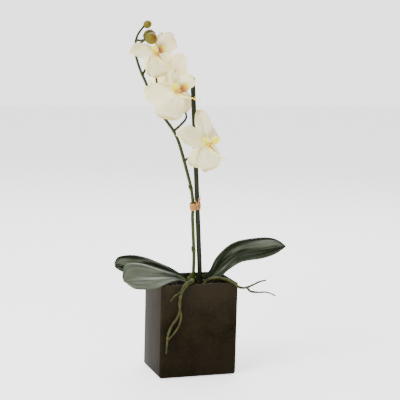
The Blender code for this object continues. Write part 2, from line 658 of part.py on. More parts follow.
def build():
    remove_everything()
    glaze = material("glazed_clay", (0.050, 0.042, 0.030), 0.45, 0.2)
    bark = material("bark", (0.040, 0.020, 0.012), 0.9)
    cane = material("cane", (0.040, 0.050, 0.014), 0.5)
    stem = material("stem", (0.075, 0.100, 0.020), 0.5)
    leaf = material("leaf", (0.030, 0.050, 0.020), 0.35)
    root = material("root", (0.140, 0.170, 0.050), 0.6)
    raffia = material("raffia", (0.420, 0.240, 0.110), 0.8)
    bud = material("bud", (0.300, 0.230, 0.010), 0.45)
    tepal = material("tepal", (0.850, 0.820, 0.720), 0.55)
    lip = material("lip", (0.850, 0.700, 0.180), 0.5)
    column = material("column", (0.880, 0.820, 0.700), 0.5)
    make_pot(glaze)
    make_medium(bark)
    make_stake(cane)
    make_crown(stem)
    make_leaves(leaf)
    make_roots(root)
    make_spike(stem)
    make_tie(raffia)
    for tag in FLOWERS:
        make_flower(tag, {"tepal": tepal, "lip": lip, "column": column})
    make_flower_stalks(stem)
    make_buds(bud, stem)


build()
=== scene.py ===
"""A potted moth orchid in bloom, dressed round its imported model. Metres, +Z up."""

import math
import random

import bmesh
import bpy
from mathutils import Euler, Matrix, Vector, noise


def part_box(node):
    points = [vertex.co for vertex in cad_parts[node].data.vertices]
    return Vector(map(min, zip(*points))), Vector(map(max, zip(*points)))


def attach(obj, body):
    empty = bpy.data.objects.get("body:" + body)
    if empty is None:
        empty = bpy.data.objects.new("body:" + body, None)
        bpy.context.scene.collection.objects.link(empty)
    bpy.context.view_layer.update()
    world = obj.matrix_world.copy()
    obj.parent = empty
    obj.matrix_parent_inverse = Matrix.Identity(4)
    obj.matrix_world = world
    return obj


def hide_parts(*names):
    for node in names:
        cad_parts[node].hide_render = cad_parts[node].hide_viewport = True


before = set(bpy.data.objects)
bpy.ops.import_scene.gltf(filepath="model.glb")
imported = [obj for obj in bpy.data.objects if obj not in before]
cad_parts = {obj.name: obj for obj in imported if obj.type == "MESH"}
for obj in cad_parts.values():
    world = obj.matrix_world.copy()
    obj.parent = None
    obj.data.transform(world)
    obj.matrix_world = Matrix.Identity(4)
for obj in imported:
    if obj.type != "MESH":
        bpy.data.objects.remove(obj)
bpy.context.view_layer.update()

# ---------------------------------------------------------------- sizes shared with the frame

GAP = 0.0003
pot_low, pot_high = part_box("pot")
POT_WIDTH = pot_high.x - pot_low.x
POT_DEPTH = pot_high.y - pot_low.y
RIM = pot_high.z
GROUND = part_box("growing_medium")[1].z
FRONT, LEFT, RIGHT = pot_low.y, pot_low.x, pot_high.x
POT_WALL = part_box("growing_medium")[0].x - pot_low.x - GAP
POT_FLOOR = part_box("growing_medium")[0].z - GAP

STAKE_RADIUS = 0.0037
STAKE_FOOT = (0.0150, 0.0)
STAKE_LEAN = math.radians(3.75)
STAKE_RISE = 0.322
STAKE_DEPTH = 0.085
SPIKE_RADIUS = 0.0026
STALK_RADIUS = 0.0017
TIE_RISE = 0.1255
SPIKE_TIE_STEP = STAKE_RADIUS + SPIKE_RADIUS + 0.0006
COLUMN_RADIUS = 0.0028
TEPAL_LAYER = 0.0014
TEPAL_THICKNESS = 0.0007
LEAF_THICKNESS = 0.0014
RAFFIA_THICKNESS = 0.0005
BODY = "root"


# ---------------------------------------------------------------- modelling helpers


def clear():
    if bpy.context.object is not None and bpy.context.object.mode != "OBJECT":
        bpy.ops.object.mode_set(mode="OBJECT")
    bpy.ops.object.select_all(action="DESELECT")


def named(name):
    """The primitive just added, under its own name."""
    piece = bpy.context.object
    piece.name = name
    piece.data.name = name
    return piece


def hold(piece):
    clear()
    piece.select_set(True)
    bpy.context.view_layer.objects.active = piece


def edit(piece):
    hold(piece)
    bpy.ops.object.mode_set(mode="EDIT")
    bpy.ops.mesh.select_mode(type="VERT")
    bpy.ops.mesh.select_all(action="DESELECT")


def pick(piece, kind, test):
    """Selects a mesh's verts, edges or faces in edit mode by a test on each."""
    bm = bmesh.from_edit_mesh(piece.data)
    bpy.ops.mesh.select_mode(type={"verts": "VERT", "edges": "EDGE", "faces": "FACE"}[kind])
    bpy.ops.mesh.select_all(action="DESELECT")
    for item in getattr(bm, kind):
        if test(item):
            item.select_set(True)
    bm.select_flush_mode()
    bmesh.update_edit_mesh(piece.data)


def extrude(x, y, z):
    bpy.ops.mesh.extrude_region_move(TRANSFORM_OT_translate={"value": (x, y, z)})


def shift(x, y, z):
    bpy.ops.transform.translate(value=(x, y, z))


def resize(x, y, z, about):
    bpy.ops.transform.resize(value=(x, y, z), center_override=about)


def fix_place():
    """Moves the active piece's place, turn and size into its mesh."""
    bpy.ops.object.transform_apply(location=True, rotation=True, scale=True)


def modify(piece, kind, **settings):
    """Adds a modifier and applies it."""
    hold(piece)
    added = piece.modifiers.new(kind.lower(), kind)
    for key, value in settings.items():
        setattr(added, key, value)
    if kind == "SUBSURF":
        added.render_levels = added.levels
    bpy.ops.object.modifier_apply(modifier=added.name)
    return piece


def settle(piece, smooth=60):
    """Moves a piece's place into its mesh and shades it."""
    hold(piece)
    fix_place()
    bpy.ops.object.shade_smooth_by_angle(angle=math.radians(smooth))
    return piece


def join(pieces, name):
    clear()
    for piece in pieces:
        piece.select_set(True)
    bpy.context.view_layer.objects.active = pieces[0]
    bpy.ops.object.join()
    return named(name)


def paint_all(piece, finish):
    piece.data.materials.clear()
    piece.data.materials.append(finish)
    return piece


def dress(piece, finish, slot, *nodes):
    """Gives a finished piece its material and its place in the frame."""
    paint_all(piece, finish)
    for face in piece.data.polygons:
        face.material_index = 0
    show(piece, slot, *nodes)
    return piece


def show(piece, slot, *nodes):
    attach(piece, BODY)
    if nodes:
        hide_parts(*nodes)


def smooth_route(points, steps):
    """Points along the Catmull-Rom curve that passes through the given points."""
    knots = [Vector(p) for p in points]
    ends = [2 * knots[0] - knots[1]] + knots + [2 * knots[-1] - knots[-2]]
    route = []
    for i in range(1, len(ends) - 2):
        a, b, c, d = ends[i - 1:i + 3]
        for k in range(steps):
            t = k / steps
            route.append(0.5 * (2 * b + (c - a) * t + (2 * a - 5 * b + 4 * c - d) * t ** 2
                                + (3 * b - a - 3 * c + d) * t ** 3))
    route.append(knots[-1])
    return route


def along(values, share):
    """A value, or a point, at a share of the way through a list."""
    reach = min(max(share, 0.0), 1.0) * (len(values) - 1)
    k = min(int(reach), len(values) - 2)
    return values[k] + (values[k + 1] - values[k]) * (reach - k)


def tube(name, points, radii, steps=6, knobs=0.0, seed=0, bevel=4):
    """A closed tube along a smooth route; knobs swells it here and there by that share."""
    draw = random.Random(seed)
    route = smooth_route(points, steps)
    line = bpy.data.curves.new(name, "CURVE")
    line.dimensions = "3D"
    line.bevel_depth = 1.0
    line.bevel_resolution = bevel
    line.use_fill_caps = True
    spline = line.splines.new("POLY")
    spline.points.add(len(route) - 1)
    swell = 0.0
    for k, place in enumerate(route):
        swell = 0.55 * swell + 0.45 * draw.uniform(-1, 1)
        spline.points[k].co = (*place, 1.0)
        spline.points[k].radius = along(radii, k / (len(route) - 1)) * (1 + knobs * 2 * swell)
    piece = bpy.data.objects.new(name, line)
    bpy.context.scene.collection.objects.link(piece)
    hold(piece)
    bpy.ops.object.convert(target="MESH")
    edit(piece)
    bpy.ops.mesh.select_all(action="SELECT")
    bpy.ops.mesh.remove_doubles(threshold=1e-6)
    bpy.ops.mesh.normals_make_consistent(inside=False)
    clear()
    return piece


def blade(name, length, half_width, rows, columns):
    """A flat blade grown row by row along +Y, its edge at half_width(share of its length)."""
    clear()
    bpy.ops.mesh.primitive_grid_add(x_subdivisions=columns, y_subdivisions=1, size=2)
    piece = named(name)
    edit(piece)
    widths = [half_width(k / rows) for k in range(rows + 1)]
    step = length / rows
    pick(piece, "verts", lambda v: v.co.y < 0)
    resize(widths[0], 1, 1, (0, -1, 0))
    shift(0, 1, 0)
    pick(piece, "verts", lambda v: v.co.y > 0.5)
    resize(widths[1], 1, 1, (0, 1, 0))
    shift(0, step - 1, 0)
    for k in range(2, rows + 1):
        extrude(0, step, 0)
        resize(widths[k] / widths[k - 1], 1, 1, (0, step * k, 0))
    clear()
    sheet = piece.data.uv_layers[0]
    sheet.name = "along"
    for loop in piece.data.loops:
        place = piece.data.vertices[loop.vertex_index].co
        share = min(max(place.y / length, 0), 1)
        across = place.x / max(along(widths, share), 1e-6)
        sheet.data[loop.index].uv = (0.5 + 0.5 * across, share)
    return piece


def copy_of(piece, name):
    """A copy of a piece with a mesh of its own."""
    made = piece.copy()
    made.data = piece.data.copy()
    made.name = name
    made.data.name = name
    bpy.context.scene.collection.objects.link(made)
    return made


def blade_share(s, rise, fall):
    """A blade's breadth at share s of its length, 1 at its broadest."""
    peak = rise / (rise + fall)
    top = peak ** rise * (1 - peak) ** fall
    return s ** rise * (1 - s) ** fall / top


# ---------------------------------------------------------------- paints


def tint(red, green, blue):
    """A colour given in display values from 0 to 255."""
    def linear(c):
        c /= 255
        return c / 12.92 if c <= 0.04045 else ((c + 0.055) / 1.055) ** 2.4
    return linear(red), linear(green), linear(blue), 1.0


class Field:
    """A value that varies over a surface. Arithmetic on it adds Math nodes."""

    def __init__(self, paint, socket):
        self.paint = paint
        self.socket = socket

    def maths(self, operation, *values):
        return self.paint.add("ShaderNodeMath", {"operation": operation}, dict(enumerate(values)))

    def __add__(self, other):
        return self.maths("ADD", self, other)

    def __radd__(self, other):
        return self.maths("ADD", other, self)

    def __sub__(self, other):
        return self.maths("SUBTRACT", self, other)

    def __rsub__(self, other):
        return self.maths("SUBTRACT", other, self)

    def __mul__(self, other):
        return self.maths("MULTIPLY", self, other)

    def __rmul__(self, other):
        return self.maths("MULTIPLY", other, self)

    def away_from(self, middle):
        """How far the value is from a middle one."""
        return self.maths("ABSOLUTE", self - middle)

    def between(self, low, high):
        """0 below low and 1 above high, with a soft step between."""
        return self.paint.add("ShaderNodeMapRange", {"interpolation_type": "SMOOTHSTEP"},
                              {"Value": self, "From Min": low, "From Max": high})


class Paint:
    """A material, or the light of the world, mixed from nodes."""

    def __init__(self, name, world=False):
        self.material = (bpy.data.worlds if world else bpy.data.materials).new(name)
        self.material.use_nodes = True
        self.tree = self.material.node_tree
        self.shader = self.tree.nodes["Background" if world else "Principled BSDF"]

    def add(self, kind, settings=None, sockets=None, output=0):
        made = self.tree.nodes.new(kind)
        for key, value in (settings or {}).items():
            setattr(made, key, value)
        for key, value in (sockets or {}).items():
            if isinstance(value, Field):
                self.tree.links.new(value.socket, made.inputs[key])
            else:
                made.inputs[key].default_value = value
        return Field(self, made.outputs[output])

    def place(self, *stretch):
        """Object coordinates, stretched."""
        source = self.add("ShaderNodeTexCoord", output=3)
        return self.add("ShaderNodeMapping", {}, {"Vector": source, "Scale": stretch or (1, 1, 1)})

    def sheet(self, *stretch):
        """The blade's own coordinates: across, along."""
        source = self.add("ShaderNodeUVMap", {"uv_map": "along"})
        across, run = stretch or (1, 1)
        return self.add("ShaderNodeMapping", {}, {"Vector": source, "Scale": (across, run, 1)})

    def split(self, vector, axis):
        return self.add("ShaderNodeSeparateXYZ", {}, {0: vector}, axis)

    def across(self):
        """Position across the blade: 0 and 1 at its edges, 0.5 along its middle."""
        return self.split(self.sheet(), 0)

    def share(self):
        """Position along the blade, from 0 at its foot to 1 at its tip."""
        return self.split(self.sheet(), 1)

    def noise(self, vector, scale, detail=3.0, roughness=0.5, distortion=0.0):
        return self.add("ShaderNodeTexNoise", {},
                        {"Vector": vector, "Scale": scale, "Detail": detail,
                         "Roughness": roughness, "Distortion": distortion})

    def cells(self, vector, scale):
        return self.add("ShaderNodeTexVoronoi", {}, {"Vector": vector, "Scale": scale})

    def mix(self, share, low, high):
        return self.add("ShaderNodeMix", {"data_type": "RGBA"}, {0: share, 6: low, 7: high}, 2)

    def bump(self, height, distance, strength=1.0, under=None):
        sockets = {"Height": height, "Distance": distance, "Strength": strength}
        if under is not None:
            sockets["Normal"] = under
        return self.add("ShaderNodeBump", {}, sockets)

    def finish(self, **sockets):
        for key, value in sockets.items():
            socket = self.shader.inputs[key.replace("_", " ")]
            if isinstance(value, Field):
                self.tree.links.new(value.socket, socket)
            else:
                socket.default_value = value
        return self.material


def paint_glaze():
    p = Paint("bronze_glaze")
    height = p.split(p.place(), 2)
    cloud = p.noise(p.place(), 26, 5, 0.62).between(0.32, 0.70)
    mottle = p.noise(p.place(), 150, 4, 0.65)
    speck = p.noise(p.place(), 700, 2, 0.5)
    run = p.noise(p.place(120, 120, 7), 1.0, 3, 0.55)
    base = p.mix(cloud, tint(21, 17, 9), tint(33, 27, 17))
    base = p.mix(mottle.between(0.45, 0.75) * 0.45, base, tint(44, 35, 21))
    base = p.mix(speck.between(0.60, 0.72) * 0.4, base, tint(76, 66, 46))
    # painted shade: the lower part of the pot is darkened towards its foot
    base = p.mix((1 - height.between(0.0, 0.13)) * 0.45, base, tint(16, 13, 8))
    # painted sheen: the upper part of the pot is lighter and greyer, standing in for the glaze's
    # reflection there
    base = p.mix(height.between(0.07, 0.145) * 0.40, base, tint(50, 45, 35))
    return p.finish(Base_Color=base, Roughness=0.30 + run * 0.16 + mottle * 0.10,
                    Specular_IOR_Level=0.013,
                    Normal=p.bump(mottle * 0.6 + run * 0.3 + speck * 0.1, 0.0003, 0.30))


def paint_bark():
    p = Paint("bark_chips")
    grain = p.noise(p.place(), 260, 4, 0.6)
    patch = p.noise(p.place(), 55, 3, 0.5)
    base = p.mix(patch.between(0.35, 0.65), tint(13, 9, 5), tint(36, 23, 13))
    base = p.mix(grain.between(0.52, 0.75) * 0.7, base, tint(58, 37, 22))
    return p.finish(Base_Color=base, Roughness=0.88, Specular_IOR_Level=0.15,
                    Normal=p.bump(grain, 0.0006, 0.8))


def paint_cane():
    p = Paint("stained_cane")
    fibre = p.noise(p.place(900, 900, 14), 1.0, 3, 0.6)
    blotch = p.noise(p.place(1, 1, 0.5), 42, 3, 0.6)
    base = p.mix(fibre.between(0.35, 0.7), tint(12, 20, 0), tint(29, 37, 3))
    base = p.mix(blotch.between(0.5, 0.72) * 0.5, base, tint(44, 48, 10))
    return p.finish(Base_Color=base, Roughness=0.40 + fibre * 0.14, Specular_IOR_Level=0.2,
                    Normal=p.bump(fibre, 0.0003, 0.5))


def paint_stem():
    p = Paint("green_stem")
    height = p.split(p.place(), 2)
    fibre = p.noise(p.place(700, 700, 30), 1.0, 2, 0.5)
    blush = p.noise(p.place(), 48, 3, 0.6)
    base = p.mix(fibre, tint(32, 42, 0), tint(58, 70, 5))
    base = p.mix(height.between(0.16, 0.34) * 0.55, base, tint(18, 28, 0))
    base = p.mix(blush.between(0.52, 0.72) * 0.45, base, tint(52, 44, 8))
    return p.finish(Base_Color=base, Roughness=0.40, Specular_IOR_Level=0.2,
                    Normal=p.bump(fibre, 0.0002, 0.4))


def paint_leaf(name, sheen_spread, foot):
    """Dark green skin with a painted soft grey highlight, over a clear coat in the same places; the
    second argument widens the painted highlight, foot is the base's colour.
    """
    p = Paint(name)
    across, share = p.across(), p.share()
    vein = p.noise(p.sheet(64, 2.0), 1.0, 3, 0.55, 0.4)
    streak = p.noise(p.sheet(15, 1.6), 1.0, 2, 0.5, 0.6)
    broad = p.noise(p.sheet(3.4, 1.9), 1.0, 2, 0.5, 0.6)
    off = across.away_from(0.5)
    # painted highlight: a soft grey sheen mask from broad and streak noise, away from the foot and
    # widened by the second argument; it also weights the clear coat
    shine = (broad * 0.62 + streak * 0.38 + sheen_spread).between(0.43, 0.64) * share.between(0.10, 0.42)
    base = p.mix(broad.between(0.3, 0.7), tint(10, 17, 3), tint(21, 30, 9))
    # painted highlight mixed into the skin colour
    base = p.mix(shine * 0.9, base, tint(86, 92, 77))
    base = p.mix(vein.between(0.48, 0.68) * 0.72, base, tint(12, 19, 6))
    base = p.mix((1 - off.between(0.0, 0.025)) * 0.30, base, tint(60, 68, 46))
    base = p.mix(off.between(0.46, 0.5) * 0.5, base, tint(30, 38, 10))
    base = p.mix((1 - share.between(0.04, 0.22)) * 0.8, base, foot)
    return p.finish(Base_Color=base, Roughness=0.38 + vein * 0.20, Specular_IOR_Level=0.03,
                    Coat_Weight=shine * 0.35, Coat_Roughness=0.34,
                    Normal=p.bump(vein * 0.6 + streak * 0.4, 0.0010, 0.50))


def paint_root():
    p = Paint("aerial_root")
    skin = p.noise(p.place(), 150, 4, 0.6)
    fine = p.noise(p.place(), 900, 2, 0.5)
    base = p.mix(skin.between(0.35, 0.65), tint(32, 34, 3), tint(62, 62, 18))
    base = p.mix(skin.between(0.60, 0.72) * 0.7, base, tint(34, 32, 8))
    return p.finish(Base_Color=base, Roughness=0.66, Specular_IOR_Level=0.25,
                    Normal=p.bump(fine + skin, 0.0003, 0.5))


def paint_raffia():
    p = Paint("dry_raffia")
    fibre = p.noise(p.place(160, 160, 1400), 1.0, 3, 0.6)
    base = p.mix(fibre.between(0.3, 0.7), tint(112, 68, 26), tint(176, 128, 66))
    return p.finish(Base_Color=base, Roughness=0.75, Normal=p.bump(fibre, 0.0004, 0.6))


def paint_bud():
    p = Paint("closed_bud")
    share = p.share()
    patch = p.noise(p.place(), 110, 3, 0.55)
    base = p.mix(patch.between(0.35, 0.7), tint(82, 76, 0), tint(100, 88, 0))
    base = p.mix((1 - share.between(0.05, 0.5)) * 0.6, base, tint(52, 58, 0))
    base = p.mix(share.between(0.62, 0.95) * patch.between(0.4, 0.6), base, tint(100, 58, 0))
    return p.finish(Base_Color=base, Roughness=0.45, Specular_IOR_Level=0.2,
                    Normal=p.bump(patch, 0.0003, 0.3))


def paint_tepal(name, tip):
    p = Paint(name)
    across, share = p.across(), p.share()
    off = across.away_from(0.5)
    vein = p.noise(p.sheet(26, 1.4), 1.0, 3, 0.55, 0.7)
    cloud = p.noise(p.place(), 46, 3, 0.55)
    blush = p.noise(p.place(), 23, 2, 0.5)
    base = p.mix(cloud.between(0.35, 0.65), tint(251, 237, 176), tint(255, 248, 204))
    base = p.mix(blush.between(0.50, 0.70) * 0.35, base, tint(246, 224, 206))
    base = p.mix((1 - blush.between(0.30, 0.48)) * 0.30, base, tint(226, 232, 196))
    base = p.mix(vein.between(0.52, 0.74) * 0.30, base, tint(222, 206, 172))
    # painted shade: a grey-beige darkening along the midline groove towards the foot
    base = p.mix((1 - off.between(0.0, 0.05)) * (1 - share) * 0.5, base, tint(206, 194, 156))
    base = p.mix((1 - share.between(0.02, 0.30)) * 0.65, base, tint(214, 204, 120))
    base = p.mix(share.between(0.80, 0.97) * tip, base, tint(196, 180, 80))
    return p.finish(Base_Color=base, Roughness=0.55, Subsurface_Weight=0.06,
                    Subsurface_Scale=0.004, Specular_IOR_Level=0.25,
                    Normal=p.bump(vein + cloud * 0.5, 0.0009, 0.45))


WAXY = dict(Subsurface_Weight=0.05, Subsurface_Scale=0.003)


def paint_lobe(name, red):
    p = Paint(name)
    across, share = p.across(), p.share()
    dots = 1 - p.cells(p.sheet(7, 9), 1.0).between(0.16, 0.30)
    base = p.mix(share.between(0.1, 0.9), tint(246, 224, 0), tint(250, 246, 50))
    base = p.mix(across.away_from(0.5).between(0.3, 0.5) * 0.6, base,
                 tint(252, 250, 150))
    base = p.mix(dots * (1 - share.between(0.35, 0.6)) * 0.9, base, tint(150, 48, 30))
    base = p.mix((1 - share.between(0.3, 0.9)) * red, base, tint(150, 62, 6))
    return p.finish(Base_Color=base, Roughness=0.45, **WAXY)


def paint_midlobe():
    p = Paint("lip_midlobe")
    across, share = p.across(), p.share()
    line = 1 - across.away_from(0.5).between(0.05, 0.2)
    freckle = 1 - p.cells(p.sheet(8, 16), 1.0).between(0.2, 0.34)
    base = p.mix(share.between(0.0, 0.5), tint(246, 200, 20), tint(253, 246, 140))
    base = p.mix(line * 0.75, base, tint(170, 84, 58))
    base = p.mix(freckle * (1 - share.between(0.3, 0.6)) * 0.8, base, tint(142, 44, 32))
    return p.finish(Base_Color=base, Roughness=0.45, **WAXY)


def paint_callus():
    p = Paint("lip_callus")
    dots = 1 - p.cells(p.place(), 700).between(0.2, 0.4)
    base = p.mix(dots, tint(246, 196, 30), tint(130, 24, 10))
    return p.finish(Base_Color=base, Roughness=0.35)


def paint_column():
    p = Paint("flower_column")
    share = p.share()
    base = p.mix(share.between(0.45, 0.85), tint(246, 240, 222), tint(226, 168, 150))
    return p.finish(Base_Color=base, Roughness=0.4, **WAXY)


def paint_floor():
    p = Paint("lit_white_paper")
    cloud = p.noise(p.place(), 3, 2, 0.5)
    base = p.mix(cloud * 0.3, tint(246, 246, 246), tint(252, 252, 252))
    return p.finish(Base_Color=base, Roughness=0.9, Emission_Color=(1, 1, 1, 1),
                    Emission_Strength=1.15)


GLAZE = paint_glaze()
BARK = paint_bark()
CANE = paint_cane()
STEM = paint_stem()
LEAF = paint_leaf("leaf_skin", 0.0, tint(20, 26, 4))
# left front leaf's skin: a wider painted highlight and a pale yellow-green foot
PALE_FOOT_SHEEN_LEAF = paint_leaf("leaf_skin_pale_foot_painted_sheen", 0.16, tint(78, 88, 56))
ROOT = paint_root()
RAFFIA = paint_raffia()
BUD = paint_bud()
SEPAL = paint_tepal("sepal_skin", 0.7)
PETAL = paint_tepal("petal_skin", 0.15)
LOBE = paint_lobe("lip_lobe", 0.0)
BLUSHED_LOBE = paint_lobe("lip_lobe_blushed", 0.95)
MIDLOBE = paint_midlobe()
CALLUS = paint_callus()
COLUMN = paint_column()


# ---------------------------------------------------------------- pot and medium


POT_CORNER = 0.0042
POT_FOOT_ROUND = 0.0038
RIM_ROUND = 0.0013
RIM_BAND = 0.0030
RIM_INSIDE = 0.020


def upright(edge):
    a, b = (v.co for v in edge.verts)
    return abs(a.z - b.z) > 0.02 and (a - b).xy.length < 1e-4


def make_pot():
    clear()
    middle = (pot_low + pot_high) / 2
    bpy.ops.mesh.primitive_cube_add(size=1, location=middle, scale=pot_high - pot_low)
    pot = named("glazed_pot")
    fix_place()
    edit(pot)
    pick(pot, "edges", upright)
    bpy.ops.mesh.bevel(offset=POT_CORNER, segments=5, profile=0.5, affect="EDGES")
    pick(pot, "faces", lambda f: f.normal.z > 0.9 and f.calc_center_median().z > RIM - 0.001)
    bpy.ops.mesh.inset(thickness=RIM_BAND, use_even_offset=True)
    bpy.ops.mesh.inset(thickness=POT_WALL - RIM_BAND, use_even_offset=True)
    extrude(0, 0, -RIM_INSIDE)
    extrude(0, 0, POT_FLOOR - RIM + RIM_INSIDE)
    pick(pot, "edges", lambda e: all(abs(v.co.z - RIM) < 1e-5 for v in e.verts)
         and (on_outline(e, 0) or on_outline(e, POT_WALL)))
    bpy.ops.mesh.bevel(offset=RIM_ROUND, segments=4, profile=0.5, affect="EDGES")
    pick(pot, "edges", lambda e: all(abs(v.co.z) < 1e-5 for v in e.verts))
    bpy.ops.mesh.bevel(offset=POT_FOOT_ROUND, segments=5, profile=0.5, affect="EDGES")
    clear()
    settle(pot, 35)
    return dress(pot, GLAZE, "glazed_clay", "pot")


def on_outline(edge, inset):
    """Whether an edge of the rim lies on the outline that is that far in from the outside."""
    for v in edge.verts:
        reach = min(POT_WIDTH / 2 - abs(v.co.x), POT_DEPTH / 2 - abs(v.co.y))
        if abs(reach - inset) > RIM_ROUND:
            return False
    return True


CHIP_SIZES = [(0.013, 0.008, 0.004), (0.010, 0.006, 0.005), (0.016, 0.006, 0.004)]
CHIP_COUNT = 230
CHIP_MARGIN = 0.0065


def make_chip(name, size, seed):
    draw = random.Random(seed)
    clear()
    bpy.ops.mesh.primitive_cube_add(size=1, scale=size)
    chip = named(name)
    fix_place()
    edit(chip)
    pick(chip, "faces", lambda f: abs(f.normal.x) > 0.9)
    bpy.ops.transform.resize(value=(1, 0.62, 0.7))
    bpy.ops.mesh.select_all(action="SELECT")
    bpy.ops.mesh.bevel(offset=min(size) * 0.22, segments=1, affect="EDGES")
    clear()
    for v in chip.data.vertices:
        v.co += Vector([draw.uniform(-1, 1) * k * 0.10 for k in size])
    return chip


def make_bark():
    """A bed of loose chips scattered over the medium."""
    draw = random.Random(11)
    kinds = [make_chip(f"chip_{k}", size, k) for k, size in enumerate(CHIP_SIZES)]
    chips = []
    half = Vector((POT_WIDTH / 2 - POT_WALL - CHIP_MARGIN, POT_DEPTH / 2 - POT_WALL - CHIP_MARGIN))
    for k in range(CHIP_COUNT):
        place = Vector((draw.uniform(-half.x, half.x), draw.uniform(-half.y, half.y), 0))
        place.z = GROUND + draw.uniform(-0.001, 0.0012)
        turn = Euler((draw.gauss(0, 0.22), draw.gauss(0, 0.22), draw.uniform(0, 6.28)))
        chip = copy_of(kinds[k % 3], f"chip_copy_{k}")
        chip.data.transform(Matrix.LocRotScale(place, turn, Vector([draw.uniform(0.7, 1.1)] * 3)))
        chips.append(chip)
    for kind in kinds:
        bpy.data.objects.remove(kind, do_unlink=True)
    bed = join(chips, "bark_bed")
    settle(bed, 30)
    return dress(bed, BARK, "bark")


# ---------------------------------------------------------------- stake, spike and tie


def stake_matrix(below):
    lean = Matrix.Rotation(-STAKE_LEAN, 4, "Y")
    return Matrix.Translation((*STAKE_FOOT, GROUND)) @ lean @ Matrix.Translation((0, 0, -below))


def stake_at(height):
    """The cane's middle at a height above the medium."""
    return Vector((STAKE_FOOT[0] - math.tan(STAKE_LEAN) * height, STAKE_FOOT[1], GROUND + height))


CANE_STEP = 0.03
CANE_CUT = 0.0012
CANE_SIZES = [1.0, 0.98, 1.01, 0.99, 1.0, 1.01, 0.985, 1.0, 0.99, 1.01, 0.98, 1.0, 0.985]


def make_stake():
    """A straight stained cane, slightly uneven, with a cut and rubbed top."""
    clear()
    bpy.ops.mesh.primitive_circle_add(vertices=28, radius=STAKE_RADIUS * 0.98, fill_type="NGON")
    stake = named("cane_stake")
    edit(stake)
    bpy.ops.mesh.select_all(action="SELECT")
    length = STAKE_DEPTH + STAKE_RISE
    heights = [CANE_STEP * (k + 1) for k in range(len(CANE_SIZES))] + [length - CANE_CUT, length]
    before = 0.0
    for k, height in enumerate(heights):
        extrude(0, 0, height - before)
        last = k == len(heights) - 1
        size, size_below = (CANE_SIZES[i % len(CANE_SIZES)] for i in (k, k - 1))
        change = 0.72 if last else size / size_below
        resize(change, change, 1, (0, 0, height))
        before = height
    bpy.ops.mesh.select_all(action="SELECT")
    bpy.ops.mesh.normals_make_consistent(inside=False)
    clear()
    stake.data.transform(stake_matrix(STAKE_DEPTH))
    settle(stake, 40)
    return dress(stake, CANE, "cane", "stake")


def spike_points():
    """The stem's course: up beside the cane, tied to it, then arching out to the left."""
    held = stake_at(TIE_RISE)
    tied = held.x - SPIKE_TIE_STEP
    course = [(0.0030, GROUND + 0.0010), (0.0032, GROUND + 0.0500),
              (tied - 0.0004, held.z - 0.0180), (tied, held.z), (tied - 0.0030, held.z + 0.0240)]
    course += [(x, GROUND + rise) for x, rise in (
        (-0.0095, 0.1730), (-0.0225, 0.2150), (-0.0335, 0.2400), (-0.0520, 0.2640),
        (-0.0680, 0.2900), (-0.0800, 0.3150), (-0.0885, 0.3330), (-0.0950, 0.3530),
        (-0.0960, 0.3690), (-0.0925, 0.3830), (-0.0840, 0.3947))]
    return [Vector((x, 0.0, z)) for x, z in course]


SPIKE_ROUTE = smooth_route(spike_points(), 8)
SPIKE_RADII = [SPIKE_RADIUS * k for k in (1, 1, 0.95, 0.9, 0.8, 0.7, 0.577)]


def spike_at(height):
    """The stem's middle and direction at a height above the medium."""
    for low, high in zip(SPIKE_ROUTE, SPIKE_ROUTE[1:]):
        if low.z <= GROUND + height < high.z:
            share = (GROUND + height - low.z) / (high.z - low.z)
            return low.lerp(high, share), (high - low).normalized()
    return SPIKE_ROUTE[-1], (SPIKE_ROUTE[-1] - SPIKE_ROUTE[-2]).normalized()


def spike_radius(height):
    return along(SPIKE_RADII, height / SPIKE_RISE)


COLLAR_DEPTH = 0.0070
SCALE_LENGTH = 0.0090
SPIKE_RISE = 0.395
STALK_HEIGHTS = {"d": 0.1950, "c": 0.2405, "b": 0.2920, "a": 0.3240,
                 "bud_3": 0.3655, "bud_2": 0.3745}


def make_collar(height, aim, size=1.0):
    """A joint of the stem: a low swelling with a pointed scale that clasps it."""
    centre, up = spike_at(height)
    radius = spike_radius(height)
    depth, length = COLLAR_DEPTH * size, SCALE_LENGTH * size
    tilt = up.to_track_quat("Z", "X").to_matrix().to_4x4()
    clear()
    bpy.ops.mesh.primitive_cylinder_add(vertices=20, radius=radius * 1.02, depth=depth)
    ring = named("collar_ring")
    edit(ring)
    pick(ring, "edges", lambda e: abs(e.verts[0].co.z - e.verts[1].co.z) > depth * 0.9)
    bpy.ops.mesh.subdivide(number_cuts=3)
    pick(ring, "verts", lambda v: abs(v.co.z) < 0.0001)
    resize(1.24, 1.24, 1, (0, 0, 0))
    pick(ring, "verts", lambda v: 0.0001 < v.co.z < 0.0030 * size)
    resize(1.12, 1.12, 1, (0, 0, 0))
    clear()
    ring.data.transform(Matrix.Translation(centre) @ tilt)
    scale = blade("collar_scale", length,
                  lambda s: max(0.0030 * size * (1 - s) ** 0.8, 0.0002), 6, 6)
    out = (aim - up * aim.dot(up)).normalized()
    side = up.cross(out)
    for v in scale.data.vertices:
        s = v.co.y / length
        turn = v.co.x / (radius + 0.0004)
        reach = radius * 1.12 + 0.0005 + 0.0008 * s
        wrap = (out * math.cos(turn) + side * math.sin(turn)) * reach
        v.co = centre + wrap + up * (v.co.y - 0.0010)
    modify(scale, "SOLIDIFY", thickness=0.0005, offset=0.0)
    return join([ring, scale], "collar")


def make_spike():
    stem = tube("spike_run", SPIKE_ROUTE[::4] + [SPIKE_ROUTE[-1]], SPIKE_RADII, 5,
                knobs=0.02, seed=3, bevel=5)
    collars = [make_collar(0.0560, Vector((-1, -0.4, 0))),
               make_collar(0.1530, Vector((-1, -0.2, 0)), 0.9)]
    for height in STALK_HEIGHTS.values():
        collars.append(make_collar(height, Vector((1, -0.3, 0.2)), 0.55))
    stem = join([stem] + collars, "flower_stem")
    settle(stem, 50)
    return dress(stem, STEM, "stem", "flower_spike")


